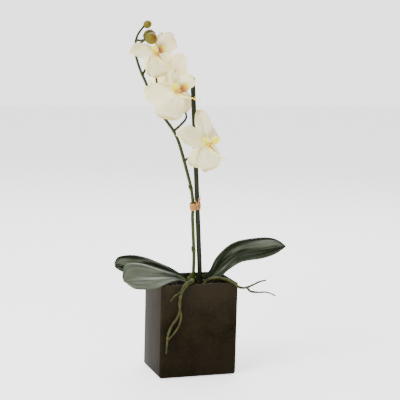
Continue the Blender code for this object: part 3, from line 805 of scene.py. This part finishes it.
def make_strip(name, length, width, place):
    """A flat ribbon whose middle follows place(share) and whose faces turn with it."""
    strip = blade(name, length, lambda s: width / 2 * (1 - 0.12 * math.sin(s * 17)), 26, 2)
    for v in strip.data.vertices:
        s = v.co.y / length
        centre, across, out = place(s)
        lift = 0.00012 * math.sin(s * 40 + v.co.x * 900)
        v.co = centre + across * v.co.x + out * lift
    modify(strip, "SOLIDIFY", thickness=RAFFIA_THICKNESS, offset=0.0)
    return strip


def make_tie():
    """Raffia wound round the cane and the stem, crossed in front and knotted."""
    held = stake_at(TIE_RISE)
    reach = SPIKE_TIE_STEP / 2
    middle = held - Vector((reach, 0, 0))
    lean = Matrix.Rotation(-STAKE_LEAN, 3, "Y")
    up = lean @ Vector((0, 0, 1))

    def wound(rise, slope, swell):
        def place(s):
            turn = 2 * math.pi * s
            radius = STAKE_RADIUS + 0.0009 + swell
            offset = reach if math.cos(turn) > 0 else -reach
            offset *= min(1, abs(math.cos(turn)) * 3)
            level = Vector((offset + radius * math.cos(turn), radius * math.sin(turn),
                            rise + slope * math.sin(turn + 0.6)))
            out = Vector((math.cos(turn), math.sin(turn), 0))
            return middle + lean @ level, up, lean @ out
        return place

    girth = 2 * math.pi * STAKE_RADIUS + 4 * reach
    strips = [make_strip("turn_low", girth, 0.0046, wound(-0.0030, 0.0006, 0.0)),
              make_strip("turn_middle", girth, 0.0044, wound(0.0004, -0.0009, 0.0006)),
              make_strip("turn_high", girth, 0.0042, wound(0.0033, 0.0007, 0.0001))]
    face = middle + Vector((0, -STAKE_RADIUS - 0.0022, 0))

    def crossing(ends):
        def place(s):
            a, b = ends
            bow = math.sin(math.pi * s)
            centre = face + a.lerp(b, s) + Vector((0, -0.0010 * bow, 0))
            across = (b - a).normalized().cross(Vector((0, -1, 0))).normalized()
            return centre, across, Vector((0, -1, 0))
        return place

    strips.append(make_strip("cross_down", 0.011, 0.0034, crossing(
        (Vector((-0.0046, 0.0006, 0.0036)), Vector((0.0046, 0.0006, -0.0036))))))
    strips.append(make_strip("cross_up", 0.011, 0.0030, crossing(
        (Vector((-0.0046, 0.0002, -0.0034)), Vector((0.0046, 0.0002, 0.0036))))))
    knot = []
    for k in range(3):
        clear()
        bpy.ops.mesh.primitive_torus_add(
            major_segments=16, minor_segments=6, major_radius=0.0016, minor_radius=0.0009,
            location=face + Vector((0, -0.0006, 0)), rotation=(1.2 + 0.9 * k, 0.5 * k, 0.7 * k))
        knot.append(named(f"knot_{k}"))
        fix_place()
    ends = []
    for k, (aim, length) in enumerate((((-0.0040, -0.0010, 0.0120), 0.013),
                                       ((0.0052, -0.0008, 0.0180), 0.019),
                                       ((0.0020, -0.0014, 0.0130), 0.014),
                                       ((-0.0020, -0.0020, -0.0040), 0.005))):
        def place(s, aim=Vector(aim)):
            bow = math.sin(math.pi * s) * 0.0012
            centre = face + Vector((0, -0.0010, 0)) + aim * s + Vector((bow, -bow, 0))
            across = Vector((1, -0.5, 0)).normalized() * (1 - 0.75 * s)
            return centre, across, Vector((0, -1, 0))
        ends.append(make_strip(f"loose_{k}", length, 0.0032, place))
    tie = join(strips + knot + ends, "raffia_knot")
    settle(tie, 50)
    return dress(tie, RAFFIA, "raffia", "raffia_tie")


# ---------------------------------------------------------------- crown and leaves


def make_crown():
    """The short leafy stem: three clasping sheaths, one inside the next."""
    low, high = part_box("crown")
    middle = (low + high) / 2
    parts = []
    for k, (share, turn) in enumerate(((1.0, 0.0), (0.80, 0.9), (0.60, 1.9))):
        clear()
        bpy.ops.mesh.primitive_cylinder_add(vertices=24, radius=0.5, depth=1, end_fill_type="NGON")
        sheath = named(f"sheath_{k}")
        edit(sheath)
        pick(sheath, "faces", lambda f: f.normal.z > 0.9)
        resize(0.72, 0.5, 1, (0, 0, 0.5))
        bpy.ops.mesh.inset(thickness=0.05)
        extrude(0, 0, -0.30)
        resize(0.6, 0.6, 1, (0, 0, 0.2))
        clear()
        size = Vector(((high.x - low.x) * share, (high.y - low.y) * share,
                       (high.z - low.z) * (0.72 + 0.14 * k)))
        place = Vector((middle.x, middle.y, low.z + size.z / 2))
        sheath.data.transform(Matrix.LocRotScale(place, Euler((0, 0, turn)), size))
        parts.append(modify(sheath, "SUBSURF", levels=1))
    crown = join(parts, "leaf_crown")
    settle(crown, 60)
    return dress(crown, STEM, "stem", "crown")


LEAF_FOLD = 0.16


def make_leaf(name, node, midrib, width, outline, tilt, seed, finish=LEAF):
    """A leaf laid along its midrib; outline gives its breadth and tilt its slant, foot to tip."""
    route = smooth_route(midrib, 10)
    length = sum((b - a).length for a, b in zip(route, route[1:]))
    shares = [p.x for p in smooth_route([(k, 0, 0) for k in outline], 6)]

    def half(s):
        return 0.5 * width * max(along(shares, s), 0.02)

    leaf = blade(name, length, half, 36, 16)
    for v in leaf.data.vertices:
        s = v.co.y / length
        spread = half(s)
        t = v.co.x / spread
        place = along(route, s)
        ahead = (along(route, s + 0.04) - along(route, s - 0.04)).normalized()
        lift = tilt[0] * (1 - s) + tilt[1] * s
        side = Vector((0, math.cos(math.radians(lift)), math.sin(math.radians(lift))))
        side = (side - side.dot(ahead) * ahead).normalized()
        up = ahead.cross(side).normalized()
        if up.z < 0:
            up = -up
        grown = min(1, s * 3)
        trough = math.exp(-(t / 0.14) ** 2) * (0.0016 * (1 - s) + 0.0005)
        swell = noise.noise(Vector((t * 1.5 + seed, s * 3.0, seed))) * 0.0026 * grown
        pleat = noise.noise(Vector((t * 7.0, s * 1.6 + seed, seed * 2))) * 0.0011 * grown
        wave = math.sin(s * 9 + seed + t * 2.2) * 0.0013 * abs(t) ** 2 * grown
        rise_here = spread * (LEAF_FOLD * abs(t) ** 1.6 - 0.07 * abs(t) ** 5)
        v.co = place + side * (t * spread) + up * (rise_here - trough + swell + pleat + wave)
    modify(leaf, "SOLIDIFY", thickness=LEAF_THICKNESS, offset=0.0)
    modify(leaf, "SUBSURF", levels=1)
    settle(leaf, 80)
    return dress(leaf, finish, "leaf", node)


def make_leaves():
    make_leaf("broad_leaf_left_front", "leaf_left_front",
              [(-0.0090, -0.0060, RIM - 0.0030), (-0.0300, -0.0180, RIM + 0.0060),
               (LEFT + 0.0040, FRONT + 0.0165, RIM + 0.0115),
               (LEFT - 0.0190, FRONT + 0.0085, RIM + 0.0135),
               (LEFT - 0.0430, FRONT + 0.0040, RIM + 0.0145),
               (LEFT - 0.0590, FRONT + 0.0030, RIM + 0.0120)],
              0.052, [0.20, 0.32, 0.43, 0.56, 0.74, 0.92, 1.0, 0.97, 0.80, 0.14],
              (20, 48), 2, PALE_FOOT_SHEEN_LEAF)
    make_leaf("broad_leaf_left_back", "leaf_left_back",
              [(-0.0065, 0.0150, RIM - 0.0015), (-0.0290, 0.0150, RIM + 0.0080),
               (-0.0540, 0.0175, RIM + 0.0160), (LEFT - 0.0190, 0.0195, RIM + 0.0210),
               (LEFT - 0.0420, 0.0200, RIM + 0.0225), (LEFT - 0.0560, 0.0200, RIM + 0.0215)],
              0.039, [0.22, 0.42, 0.62, 0.82, 0.95, 1.0, 0.98, 0.88, 0.68, 0.12],
              (20, 36), 5)
    make_leaf("broad_leaf_right", "leaf_right",
              [(0.0195, 0.0120, RIM - 0.0045), (0.0330, 0.0060, RIM - 0.0010),
               (0.0420, 0.0010, RIM + 0.0080), (0.0530, -0.0010, RIM + 0.0215),
               (RIGHT + 0.0130, -0.0050, RIM + 0.0380), (RIGHT + 0.0420, -0.0120, RIM + 0.0450),
               (RIGHT + 0.0680, -0.0200, RIM + 0.0500), (RIGHT + 0.0845, -0.0240, RIM + 0.0500)],
              0.049, [0.27, 0.48, 0.64, 0.74, 0.81, 0.88, 0.95, 1.0, 0.98, 0.82, 0.48, 0.03],
              (20, 34), 8)


# ---------------------------------------------------------------- roots


def make_roots():
    out = FRONT - 0.0045
    left = [
        ([(0.0000, -0.0085, GROUND + 0.0035), (-0.0055, -0.0160, RIM - 0.0010),
          (-0.0070, -0.0270, RIM + 0.0028), (-0.0110, FRONT + 0.0075, RIM + 0.0036),
          (-0.0200, FRONT - 0.0010, RIM + 0.0034), (-0.0290, out - 0.0010, RIM - 0.0035),
          (-0.0325, out - 0.0005, RIM - 0.0130), (-0.0335, out, RIM - 0.0250),
          (-0.0335, out, RIM - 0.0380), (-0.0375, out, RIM - 0.0490),
          (-0.0460, out, RIM - 0.0610), (-0.0510, out, RIM - 0.0750),
          (-0.0520, out, RIM - 0.0880), (-0.0530, out, RIM - 0.1030)],
         [0.0024, 0.0030, 0.0031, 0.0030, 0.0026, 0.0020, 0.0018, 0.0016, 0.0011]),
        ([(-0.0335, out - 0.0004, RIM - 0.0360), (-0.0310, out, RIM - 0.0450),
          (-0.0335, out, RIM - 0.0590), (-0.0410, out, RIM - 0.0710),
          (-0.0505, out - 0.0003, RIM - 0.0815)],
         [0.0016, 0.0016, 0.0013]),
        ([(-0.0320, out - 0.0008, RIM - 0.0080), (-0.0370, out - 0.0010, RIM - 0.0110),
          (-0.0425, out - 0.0006, RIM - 0.0150), (-0.0480, out, RIM - 0.0225)],
         [0.0015, 0.0012, 0.0007])]
    right = [
        ([(0.0170, -0.0080, GROUND + 0.0035), (0.0230, -0.0140, RIM - 0.0012),
          (0.0300, -0.0200, RIM + 0.0030), (0.0385, -0.0270, RIM + 0.0040),
          (0.0465, FRONT + 0.0070, RIM + 0.0034), (0.0530, FRONT - 0.0020, RIM + 0.0010),
          (0.0600, FRONT - 0.0045, RIM - 0.0055), (RIGHT + 0.0095, FRONT - 0.0045, RIM - 0.0070),
          (RIGHT + 0.0210, FRONT - 0.0040, RIM - 0.0035),
          (RIGHT + 0.0320, FRONT - 0.0035, RIM + 0.0010),
          (RIGHT + 0.0435, FRONT - 0.0030, RIM + 0.0030)],
         [0.0024, 0.0029, 0.0027, 0.0024, 0.0022, 0.0019, 0.0016, 0.0011]),
        ([(RIGHT + 0.0120, FRONT - 0.0045, RIM - 0.0070),
          (RIGHT + 0.0185, FRONT - 0.0050, RIM - 0.0130),
          (RIGHT + 0.0320, FRONT - 0.0050, RIM - 0.0150),
          (RIGHT + 0.0450, FRONT - 0.0050, RIM - 0.0155),
          (RIGHT + 0.0590, FRONT - 0.0050, RIM - 0.0215)],
         [0.0018, 0.0016, 0.0013, 0.0009])]
    for side, runs in (("left", left), ("right", right)):
        parts = [tube(f"{side}_run_{k}", points, radii, 5, knobs=0.12, seed=20 + k)
                 for k, (points, radii) in enumerate(runs)]
        root = join(parts, f"aerial_root_{side}")
        settle(root, 70)
        dress(root, ROOT, "root", f"root_{side}")


# ---------------------------------------------------------------- flowers


SEPAL_LENGTH, PETAL_LENGTH = 0.047, 0.048
# length, breadth, and how its breadth rises from the foot and falls to the tip
KINDS = {
    "sepal": (SEPAL_LENGTH, 0.029, 0.66, 0.66),
    "broad_sepal": (SEPAL_LENGTH, 0.040, 0.62, 0.38),
    "round_sepal": (SEPAL_LENGTH, 0.052, 0.58, 0.36),
    "petal": (PETAL_LENGTH, 0.044, 0.60, 0.42),
    "pointed_petal": (PETAL_LENGTH, 0.032, 0.62, 0.66),
}


def tepal(clock, kind, tilt=0, bend=0, cup=0.10, roll=0, size=1.0, layer=0):
    """One tepal's place on its flower: clock turns it round the middle, tilt leans it, bend
    arches it, cup raises its edges, roll turns it on its foot and layer brings it forward."""
    return dict(clock=clock, kind=kind, tilt=tilt, bend=bend, cup=cup, roll=roll, size=size,
                layer=layer)


FLOWERS = {
    "a": (dict(centre=(-0.0690, -0.0100, GROUND + 0.3630), yaw=11, pitch=4),
          dict(droop=35, turn=10, size=0.90), {
        "dorsal_sepal": tepal(36, "sepal", tilt=-18, bend=8, size=0.56),
        "petal_right": tepal(64, "petal", tilt=-10, bend=14, cup=0.20, size=0.70, layer=2),
        "petal_left": tepal(-96, "pointed_petal", tilt=10, roll=48, size=0.92, layer=3),
        "lateral_sepal_right": tepal(163, "broad_sepal", tilt=0, bend=-6, size=0.86, layer=1),
        "lateral_sepal_left": tepal(170, "broad_sepal", tilt=-8, bend=-8, size=0.84)}),
    "b": (dict(centre=(-0.0430, 0.0260, GROUND + 0.3370), yaw=122, pitch=-4),
          dict(droop=40, turn=0, size=0.72), {
        "dorsal_sepal": tepal(-6, "sepal", tilt=0, bend=10, size=0.74),
        "petal_right": tepal(84, "petal", tilt=-8, bend=10, size=0.78, layer=3),
        "petal_left": tepal(-84, "petal", tilt=-4, bend=10, size=0.78, layer=4),
        "lateral_sepal_right": tepal(150, "broad_sepal", tilt=-10, bend=10, size=0.74),
        "lateral_sepal_left": tepal(-146, "broad_sepal", tilt=-4, bend=4, size=0.74, layer=1)}),
    "c": (dict(centre=(-0.0355, -0.0100, GROUND + 0.3065), yaw=15, pitch=4),
          dict(droop=10, turn=6, size=1.15), {
        "dorsal_sepal": tepal(-6, "sepal", tilt=-4, bend=20, size=0.50),
        "petal_right": tepal(54, "petal", tilt=20, bend=24, size=0.56, layer=2),
        "petal_left": tepal(-107, "petal", tilt=1, roll=58, size=1.06, layer=3),
        "lateral_sepal_right": tepal(150, "broad_sepal", tilt=-15, bend=-6, size=1.06),
        "lateral_sepal_left": tepal(-168, "round_sepal", tilt=-6, bend=-4, size=1.0, layer=1)}),
    "d": (dict(centre=(0.0130, -0.0180, GROUND + 0.2280), yaw=11, pitch=4),
          dict(droop=26, turn=8, size=1.05), {
        "dorsal_sepal": tepal(-12, "sepal", tilt=-19, size=0.96, layer=1),
        "petal_right": tepal(54, "petal", tilt=-40, size=0.72),
        "petal_left": tepal(-77, "pointed_petal", tilt=2, roll=34, size=1.12, layer=4),
        "lateral_sepal_right": tepal(168, "broad_sepal", tilt=-2, bend=-6, size=0.96, layer=2),
        "lateral_sepal_left": tepal(-160, "broad_sepal", tilt=-10, bend=-6, size=0.90)}),
}


def flower_matrix(centre, yaw, pitch):
    turn = Euler((math.radians(pitch), 0, 0)).to_matrix().to_4x4()
    return Matrix.Translation(centre) @ Matrix.Rotation(math.radians(yaw), 4, "Z") @ turn


def kind_half(kind):
    length, width, rise, fall = KINDS[kind]

    def half(s):
        claw = 0.0022 * (1 - s) if s < 0.3 else 0.0004
        return max(0.5 * width * blade_share(0.02 + 0.965 * s, rise, fall), claw)
    return half


TEPAL_ROWS = 22
PATTERNS = {kind: blade(f"pattern_{kind}", KINDS[kind][0], kind_half(kind), TEPAL_ROWS, 12)
            for kind in KINDS}


def make_tepal(name, node, t, matrix, seed):
    """A copy of its kind's pattern: bent along its length, cupped across it and ruffled."""
    length = KINDS[t["kind"]][0] * t["size"]
    half = kind_half(t["kind"])
    piece = copy_of(PATTERNS[t["kind"]], name)
    petal = "petal" in t["kind"]
    bend = math.radians(t["bend"]) if t["bend"] else 1e-4
    radius = length / bend
    ruffle = (0.0026 if petal else 0.0014) * t["size"]
    for v in piece.data.vertices:
        s = v.co.y * t["size"] / length
        spread = half(s) * t["size"]
        across = v.co.x / half(s)
        height = radius * math.sin(bend * s)
        forward = radius * (1 - math.cos(bend * s)) + t["cup"] * spread * across ** 2 * s
        forward += ruffle * abs(across) ** 3 * math.sin(s * 11 + seed * 1.7 + across * 2) * s
        forward -= 0.0012 * math.exp(-(across / 0.14) ** 2) * (1 - s * 0.7)
        forward += 0.0006 * noise.noise(Vector((across * 6 + seed, s * 1.2, seed))) * s
        swell = noise.noise(Vector((across * 1.5 + seed, s * 2.2, seed * 0.7)))
        forward += 0.0022 * min(1, s * 2) * swell
        forward -= 0.0022 * max(0.0, s - 0.75) ** 2 * 16
        v.co = (across * spread, -forward, height)
    roll = Matrix.Rotation(math.radians(t["roll"]), 4, "Z")
    lean = Matrix.Rotation(math.radians(t["tilt"]), 4, "X")
    claw = Matrix.Translation((0, -t["layer"] * TEPAL_LAYER, COLUMN_RADIUS + 2 * GAP))
    clock = Matrix.Rotation(math.radians(t["clock"]), 4, "Y")
    piece.data.transform(matrix @ clock @ claw @ lean @ roll)
    modify(piece, "SOLIDIFY", thickness=TEPAL_THICKNESS, offset=0.0)
    modify(piece, "SUBSURF", levels=1)
    settle(piece, 80)
    return dress(piece, PETAL if petal else SEPAL, "tepal", node)


LIP_COLUMNS = 8


def lay_blade(name, points, width, outline, side, cup, rows=12):
    """A blade laid along a route, its breadth along side and its edges raised by cup."""
    route = smooth_route(points, 8)
    length = sum((b - a).length for a, b in zip(route, route[1:]))

    def half(s):
        return 0.5 * width * max(along(outline, s), 0.03)

    piece = blade(name, length, half, rows, LIP_COLUMNS)
    for v in piece.data.vertices:
        s = v.co.y / length
        t = v.co.x / half(s)
        ahead = (along(route, s + 0.05) - along(route, s - 0.05)).normalized()
        across = (side - side.dot(ahead) * ahead).normalized()
        up = across.cross(ahead)
        bend = half(s) * cup * t * t
        v.co = along(route, s) + across * v.co.x + up * bend
    modify(piece, "SOLIDIFY", thickness=TEPAL_THICKNESS, offset=0.0)
    modify(piece, "SUBSURF", levels=1)
    return piece


# breadths from foot to tip
EAR = [0.26, 0.34, 0.55, 0.82, 0.98, 1.0, 0.94, 0.80, 0.52, 0.10]
TONGUE = [0.60, 0.72, 0.90, 1.0, 0.92, 0.72, 0.52, 0.38, 0.28, 0.20, 0.14]


def make_lip(tag, lip, matrix):
    """Two upright ears, a pointed tongue with a raised heart, and two fine tendrils."""
    drop = math.radians(lip["droop"])
    ahead = Vector((0, -math.cos(drop), -math.sin(drop)))
    start = Vector((0, -0.0060, -0.0016))
    parts = []
    for side in (-1, 1):
        ear = lay_blade(f"ear_{side}", [(side * 0.0014, -0.0062, -0.0012),
                                        (side * 0.0060, -0.0080, 0.0016),
                                        (side * 0.0108, -0.0104, 0.0056),
                                        (side * 0.0158, -0.0110, 0.0092)],
                        0.0130, EAR, Vector((-side * 0.55, 0.0, 0.83)) * side, 0.35 * side)
        blushed = side > 0 and tag in ("a", "c")
        parts.append(paint_all(ear, BLUSHED_LOBE if blushed else LOBE))
    tongue = lay_blade("tongue", [start, start + ahead * 0.008, start + ahead * 0.017,
                                  start + ahead * 0.026 + Vector((0, 0, 0.0006)),
                                  start + ahead * 0.032 + Vector((0, 0, 0.0016))],
                       0.0108, TONGUE, Vector((1, 0, 0)), 0.45, rows=16)
    parts.append(paint_all(tongue, MIDLOBE))
    tip = start + ahead * 0.0315 + Vector((0, 0, 0.0015))
    for side in (-1, 1):
        curl = tube(f"tendril_{side}", [tip - ahead * 0.002,
                                        tip + ahead * 0.004 + Vector((side * 0.0010, 0, 0)),
                                        tip + ahead * 0.0085 + Vector((side * 0.0028, 0, 0.0008)),
                                        tip + ahead * 0.0105 + Vector((side * 0.0044, 0, 0.0030)),
                                        tip + ahead * 0.0090 + Vector((side * 0.0052, 0, 0.0052))],
                    [0.00055, 0.00045, 0.0004, 0.0003, 0.0002], 5, bevel=2)
        if not curl.data.uv_layers:
            curl.data.uv_layers.new(name="along")
        parts.append(paint_all(curl, MIDLOBE))
    clear()
    bpy.ops.mesh.primitive_uv_sphere_add(segments=20, ring_count=12, radius=0.0022,
                                         location=(0, -0.0088, 0.0008), scale=(1.15, 1.0, 0.8))
    heart = named("heart")
    fix_place()
    edit(heart)
    pick(heart, "verts", lambda v: abs(v.co.x) < 0.0006 and v.co.z > 0.0010)
    shift(0, 0, -0.0008)
    clear()
    parts.append(paint_all(heart, CALLUS))
    piece = join(parts, f"bloom_{tag}_lip")
    below = Matrix.Translation((0, 0, -COLUMN_RADIUS - 5 * GAP))
    turned = Matrix.Rotation(math.radians(lip["turn"]), 4, "Z") @ Matrix.Scale(lip["size"], 4)
    piece.data.transform(matrix @ below @ turned)
    settle(piece, 80)
    show(piece, "lip", f"flower_{tag}_lip")
    return piece


def make_column(tag, matrix):
    """A short hooded column with a rounded cap over a hollow."""
    clear()
    bpy.ops.mesh.primitive_uv_sphere_add(segments=20, ring_count=14, radius=1.0)
    piece = named(f"bloom_{tag}_column")
    piece.data.uv_layers[0].name = "along"
    edit(piece)
    pick(piece, "verts", lambda v: v.co.z > 0.5)
    resize(1.12, 1.12, 1.0, (0, 0, 0.5))
    pick(piece, "faces", lambda f: f.calc_center_median().y < -0.55
         and 0.15 < f.calc_center_median().z < 0.60)
    shift(0, 0.38, 0)
    clear()
    for v in piece.data.vertices:
        v.co = Vector((v.co.x * COLUMN_RADIUS * 0.86, v.co.y * COLUMN_RADIUS * 0.82,
                       (v.co.z + 1) * 0.0054))
        v.co.y += 9.0 * v.co.z ** 2
    turn = Matrix.Rotation(math.radians(90), 4, "X")
    piece.data.transform(matrix @ Matrix.Translation((0, 0.0012, 0)) @ turn)
    modify(piece, "SUBSURF", levels=1)
    settle(piece, 80)
    return dress(piece, COLUMN, "column", f"flower_{tag}_column")


def make_flowers():
    seed = 1
    for tag, (place, lip, tepals) in FLOWERS.items():
        matrix = flower_matrix(**place)
        for part, t in tepals.items():
            make_tepal(f"bloom_{tag}_{part}", f"flower_{tag}_{part}", t, matrix, seed)
            seed += 1
        make_column(tag, matrix)
        make_lip(tag, lip, matrix)
    for pattern in PATTERNS.values():
        bpy.data.objects.remove(pattern, do_unlink=True)


def make_stalk(name, node, height, points):
    start, up = spike_at(height)
    aim = (Vector(points[0]) - start).normalized()
    piece = tube(name, [start + aim * (spike_radius(height) * 0.7)] + [Vector(p) for p in points],
                 [STALK_RADIUS * k for k in (1.15, 0.95, 0.95, 1.2)], 6)
    settle(piece, 70)
    return dress(piece, STEM, "stem", node)


def behind(tag, distance):
    """A point on a flower's back, that far from its middle."""
    return flower_matrix(**FLOWERS[tag][0]) @ Vector((0, distance, 0))


def make_flower_stalks():
    routes = {
        "a": [(-0.0740, 0.0040, GROUND + 0.3410)],
        "b": [(-0.0610, 0.0030, GROUND + 0.3080), (-0.0590, 0.0150, GROUND + 0.3260)],
        "c": [(-0.0215, 0.0060, GROUND + 0.2490), (-0.0095, 0.0160, GROUND + 0.2590),
              (-0.0080, 0.0300, GROUND + 0.2700), (-0.0160, 0.0330, GROUND + 0.2860),
              (-0.0270, 0.0140, GROUND + 0.2990)],
        "d": [(-0.0080, -0.0065, GROUND + 0.2030), (0.0020, -0.0085, GROUND + 0.2120)],
    }
    for tag, points in routes.items():
        ends = [behind(tag, 0.0080), behind(tag, 0.0010)]
        make_stalk(f"bloom_{tag}_stalk", f"flower_{tag}_stalk", STALK_HEIGHTS[tag], points + ends)


# ---------------------------------------------------------------- buds


def make_bud(name, node, centre, radius, aim):
    """An egg of folded sepals: three seams run from its stalk to its blunt tip."""
    clear()
    bpy.ops.mesh.primitive_uv_sphere_add(segments=24, ring_count=14, radius=radius)
    bud = named(name)
    bud.data.uv_layers[0].name = "along"
    edit(bud)
    for k in range(3):
        angle = 2 * math.pi * k / 3 + 0.26

        def seam(v):
            turn = math.atan2(v.co.y, v.co.x) - angle
            turn = (turn + math.pi) % (2 * math.pi) - math.pi
            return abs(turn) < 0.10 and v.co.xy.length > radius * 0.2
        pick(bud, "verts", seam)
        bpy.ops.transform.shrink_fatten(value=-radius * 0.07)
    pick(bud, "verts", lambda v: v.co.z > radius * 0.7)
    resize(0.86, 0.86, 1.0, (0, 0, radius))
    clear()
    turn = Vector(aim).to_track_quat("Z", "Y").to_matrix().to_4x4()
    bud.data.transform(Matrix.Translation(centre) @ turn @ Matrix.Diagonal((0.96, 0.96, 1.06, 1)))
    modify(bud, "SUBSURF", levels=1)
    settle(bud, 80)
    return dress(bud, BUD, "bud", node)


BUD_RADII = (0.0062, 0.0092, 0.0100)


def make_buds():
    aim = Vector((0.86, 0.0, 0.51))
    make_bud("tip_bud", "bud_1", SPIKE_ROUTE[-1] + aim * (BUD_RADII[0] * 1.06 + GAP),
             BUD_RADII[0], aim)
    places = {
        "bud_2": (Vector((-0.0805, -0.0300, GROUND + 0.3779)), BUD_RADII[1], "front_bud"),
        "bud_3": (Vector((-0.0720, 0.0090, GROUND + 0.3815)), BUD_RADII[2], "back_bud"),
    }
    for node, (centre, radius, name) in places.items():
        height = STALK_HEIGHTS[node]
        start = spike_at(height)[0]
        aim = (centre - start).normalized()
        make_bud(name, node, centre, radius, aim)
        end = centre - aim * (radius * 0.98)
        middle = start.lerp(end, 0.5) - Vector((0, 0, 0.0010))
        make_stalk(name + "_stalk", node + "_stalk", height, [middle, end])


# ---------------------------------------------------------------- studio


def make_lamp(name, place, aim, size, power):
    lamp = bpy.data.lights.new(name, "AREA")
    lamp.shape = "RECTANGLE"
    lamp.size, lamp.size_y = size
    lamp.energy = power
    held = bpy.data.objects.new(name, lamp)
    held.location = place
    held.rotation_euler = (Vector(aim) - Vector(place)).to_track_quat("-Z", "Y").to_euler()
    bpy.context.scene.collection.objects.link(held)


def make_studio():
    clear()
    bpy.ops.mesh.primitive_plane_add(size=12, location=(0, 0, -0.0004))
    floor = named("studio_floor")
    floor.data.materials.append(paint_floor())
    bpy.context.scene.world = make_world()
    make_lamp("key", (-1.2, -0.7, 1.5), (0, 0, 0.3), (0.9, 0.9), 50)
    make_lamp("side", (-1.5, 0.1, 1.1), (0, 0, 0.3), (0.5, 1.0), 6)
    make_lamp("back", (0.6, 1.4, 1.6), (0, 0, 0.3), (1.6, 0.8), 34)


def make_world():
    """An even white round the object, dimmer on the side it is looked at from."""
    p = Paint("studio", world=True)
    aim = p.add("ShaderNodeTexCoord")
    back = p.split(aim, 1).between(-0.7, 0.6)
    above = p.split(aim, 2).between(-0.2, 1.0)
    seen = p.add("ShaderNodeLightPath")
    light = 0.24 + back * 0.9 + above * 0.6
    return p.finish(Color=(1, 1, 1, 1), Strength=light * (1 - seen) + seen * 2.5)


CAMERA_ANGLES = (-18.62, 8.17, 1.53)
CAMERA_AIM = Vector((0.0108, 0, 0.2648))
CAMERA_DISTANCE = 1.834


def make_camera():
    azimuth, height, roll = (math.radians(k) for k in CAMERA_ANGLES)
    back = Vector((math.sin(azimuth) * math.cos(height), -math.cos(azimuth) * math.cos(height),
                   math.sin(height)))
    right = (-back).cross(Vector((0, 0, 1))).normalized()
    up = right.cross(-back)
    level_right = math.cos(roll) * right + math.sin(roll) * up
    level_up = -math.sin(roll) * right + math.cos(roll) * up
    turn = Matrix((level_right, level_up, back)).transposed().to_4x4()
    lens = bpy.data.cameras.new("camera")
    lens.sensor_width = 36
    lens.lens = 108
    held = bpy.data.objects.new("camera", lens)
    held.matrix_world = Matrix.Translation(CAMERA_AIM + back * CAMERA_DISTANCE) @ turn
    bpy.context.scene.collection.objects.link(held)
    bpy.context.scene.camera = held


make_camera()
make_studio()
make_pot()
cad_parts["growing_medium"].material_slots[0].material = BARK
make_bark()
make_stake()
make_spike()
make_tie()
make_crown()
make_leaves()
make_roots()
make_flowers()
make_flower_stalks()
make_buds()
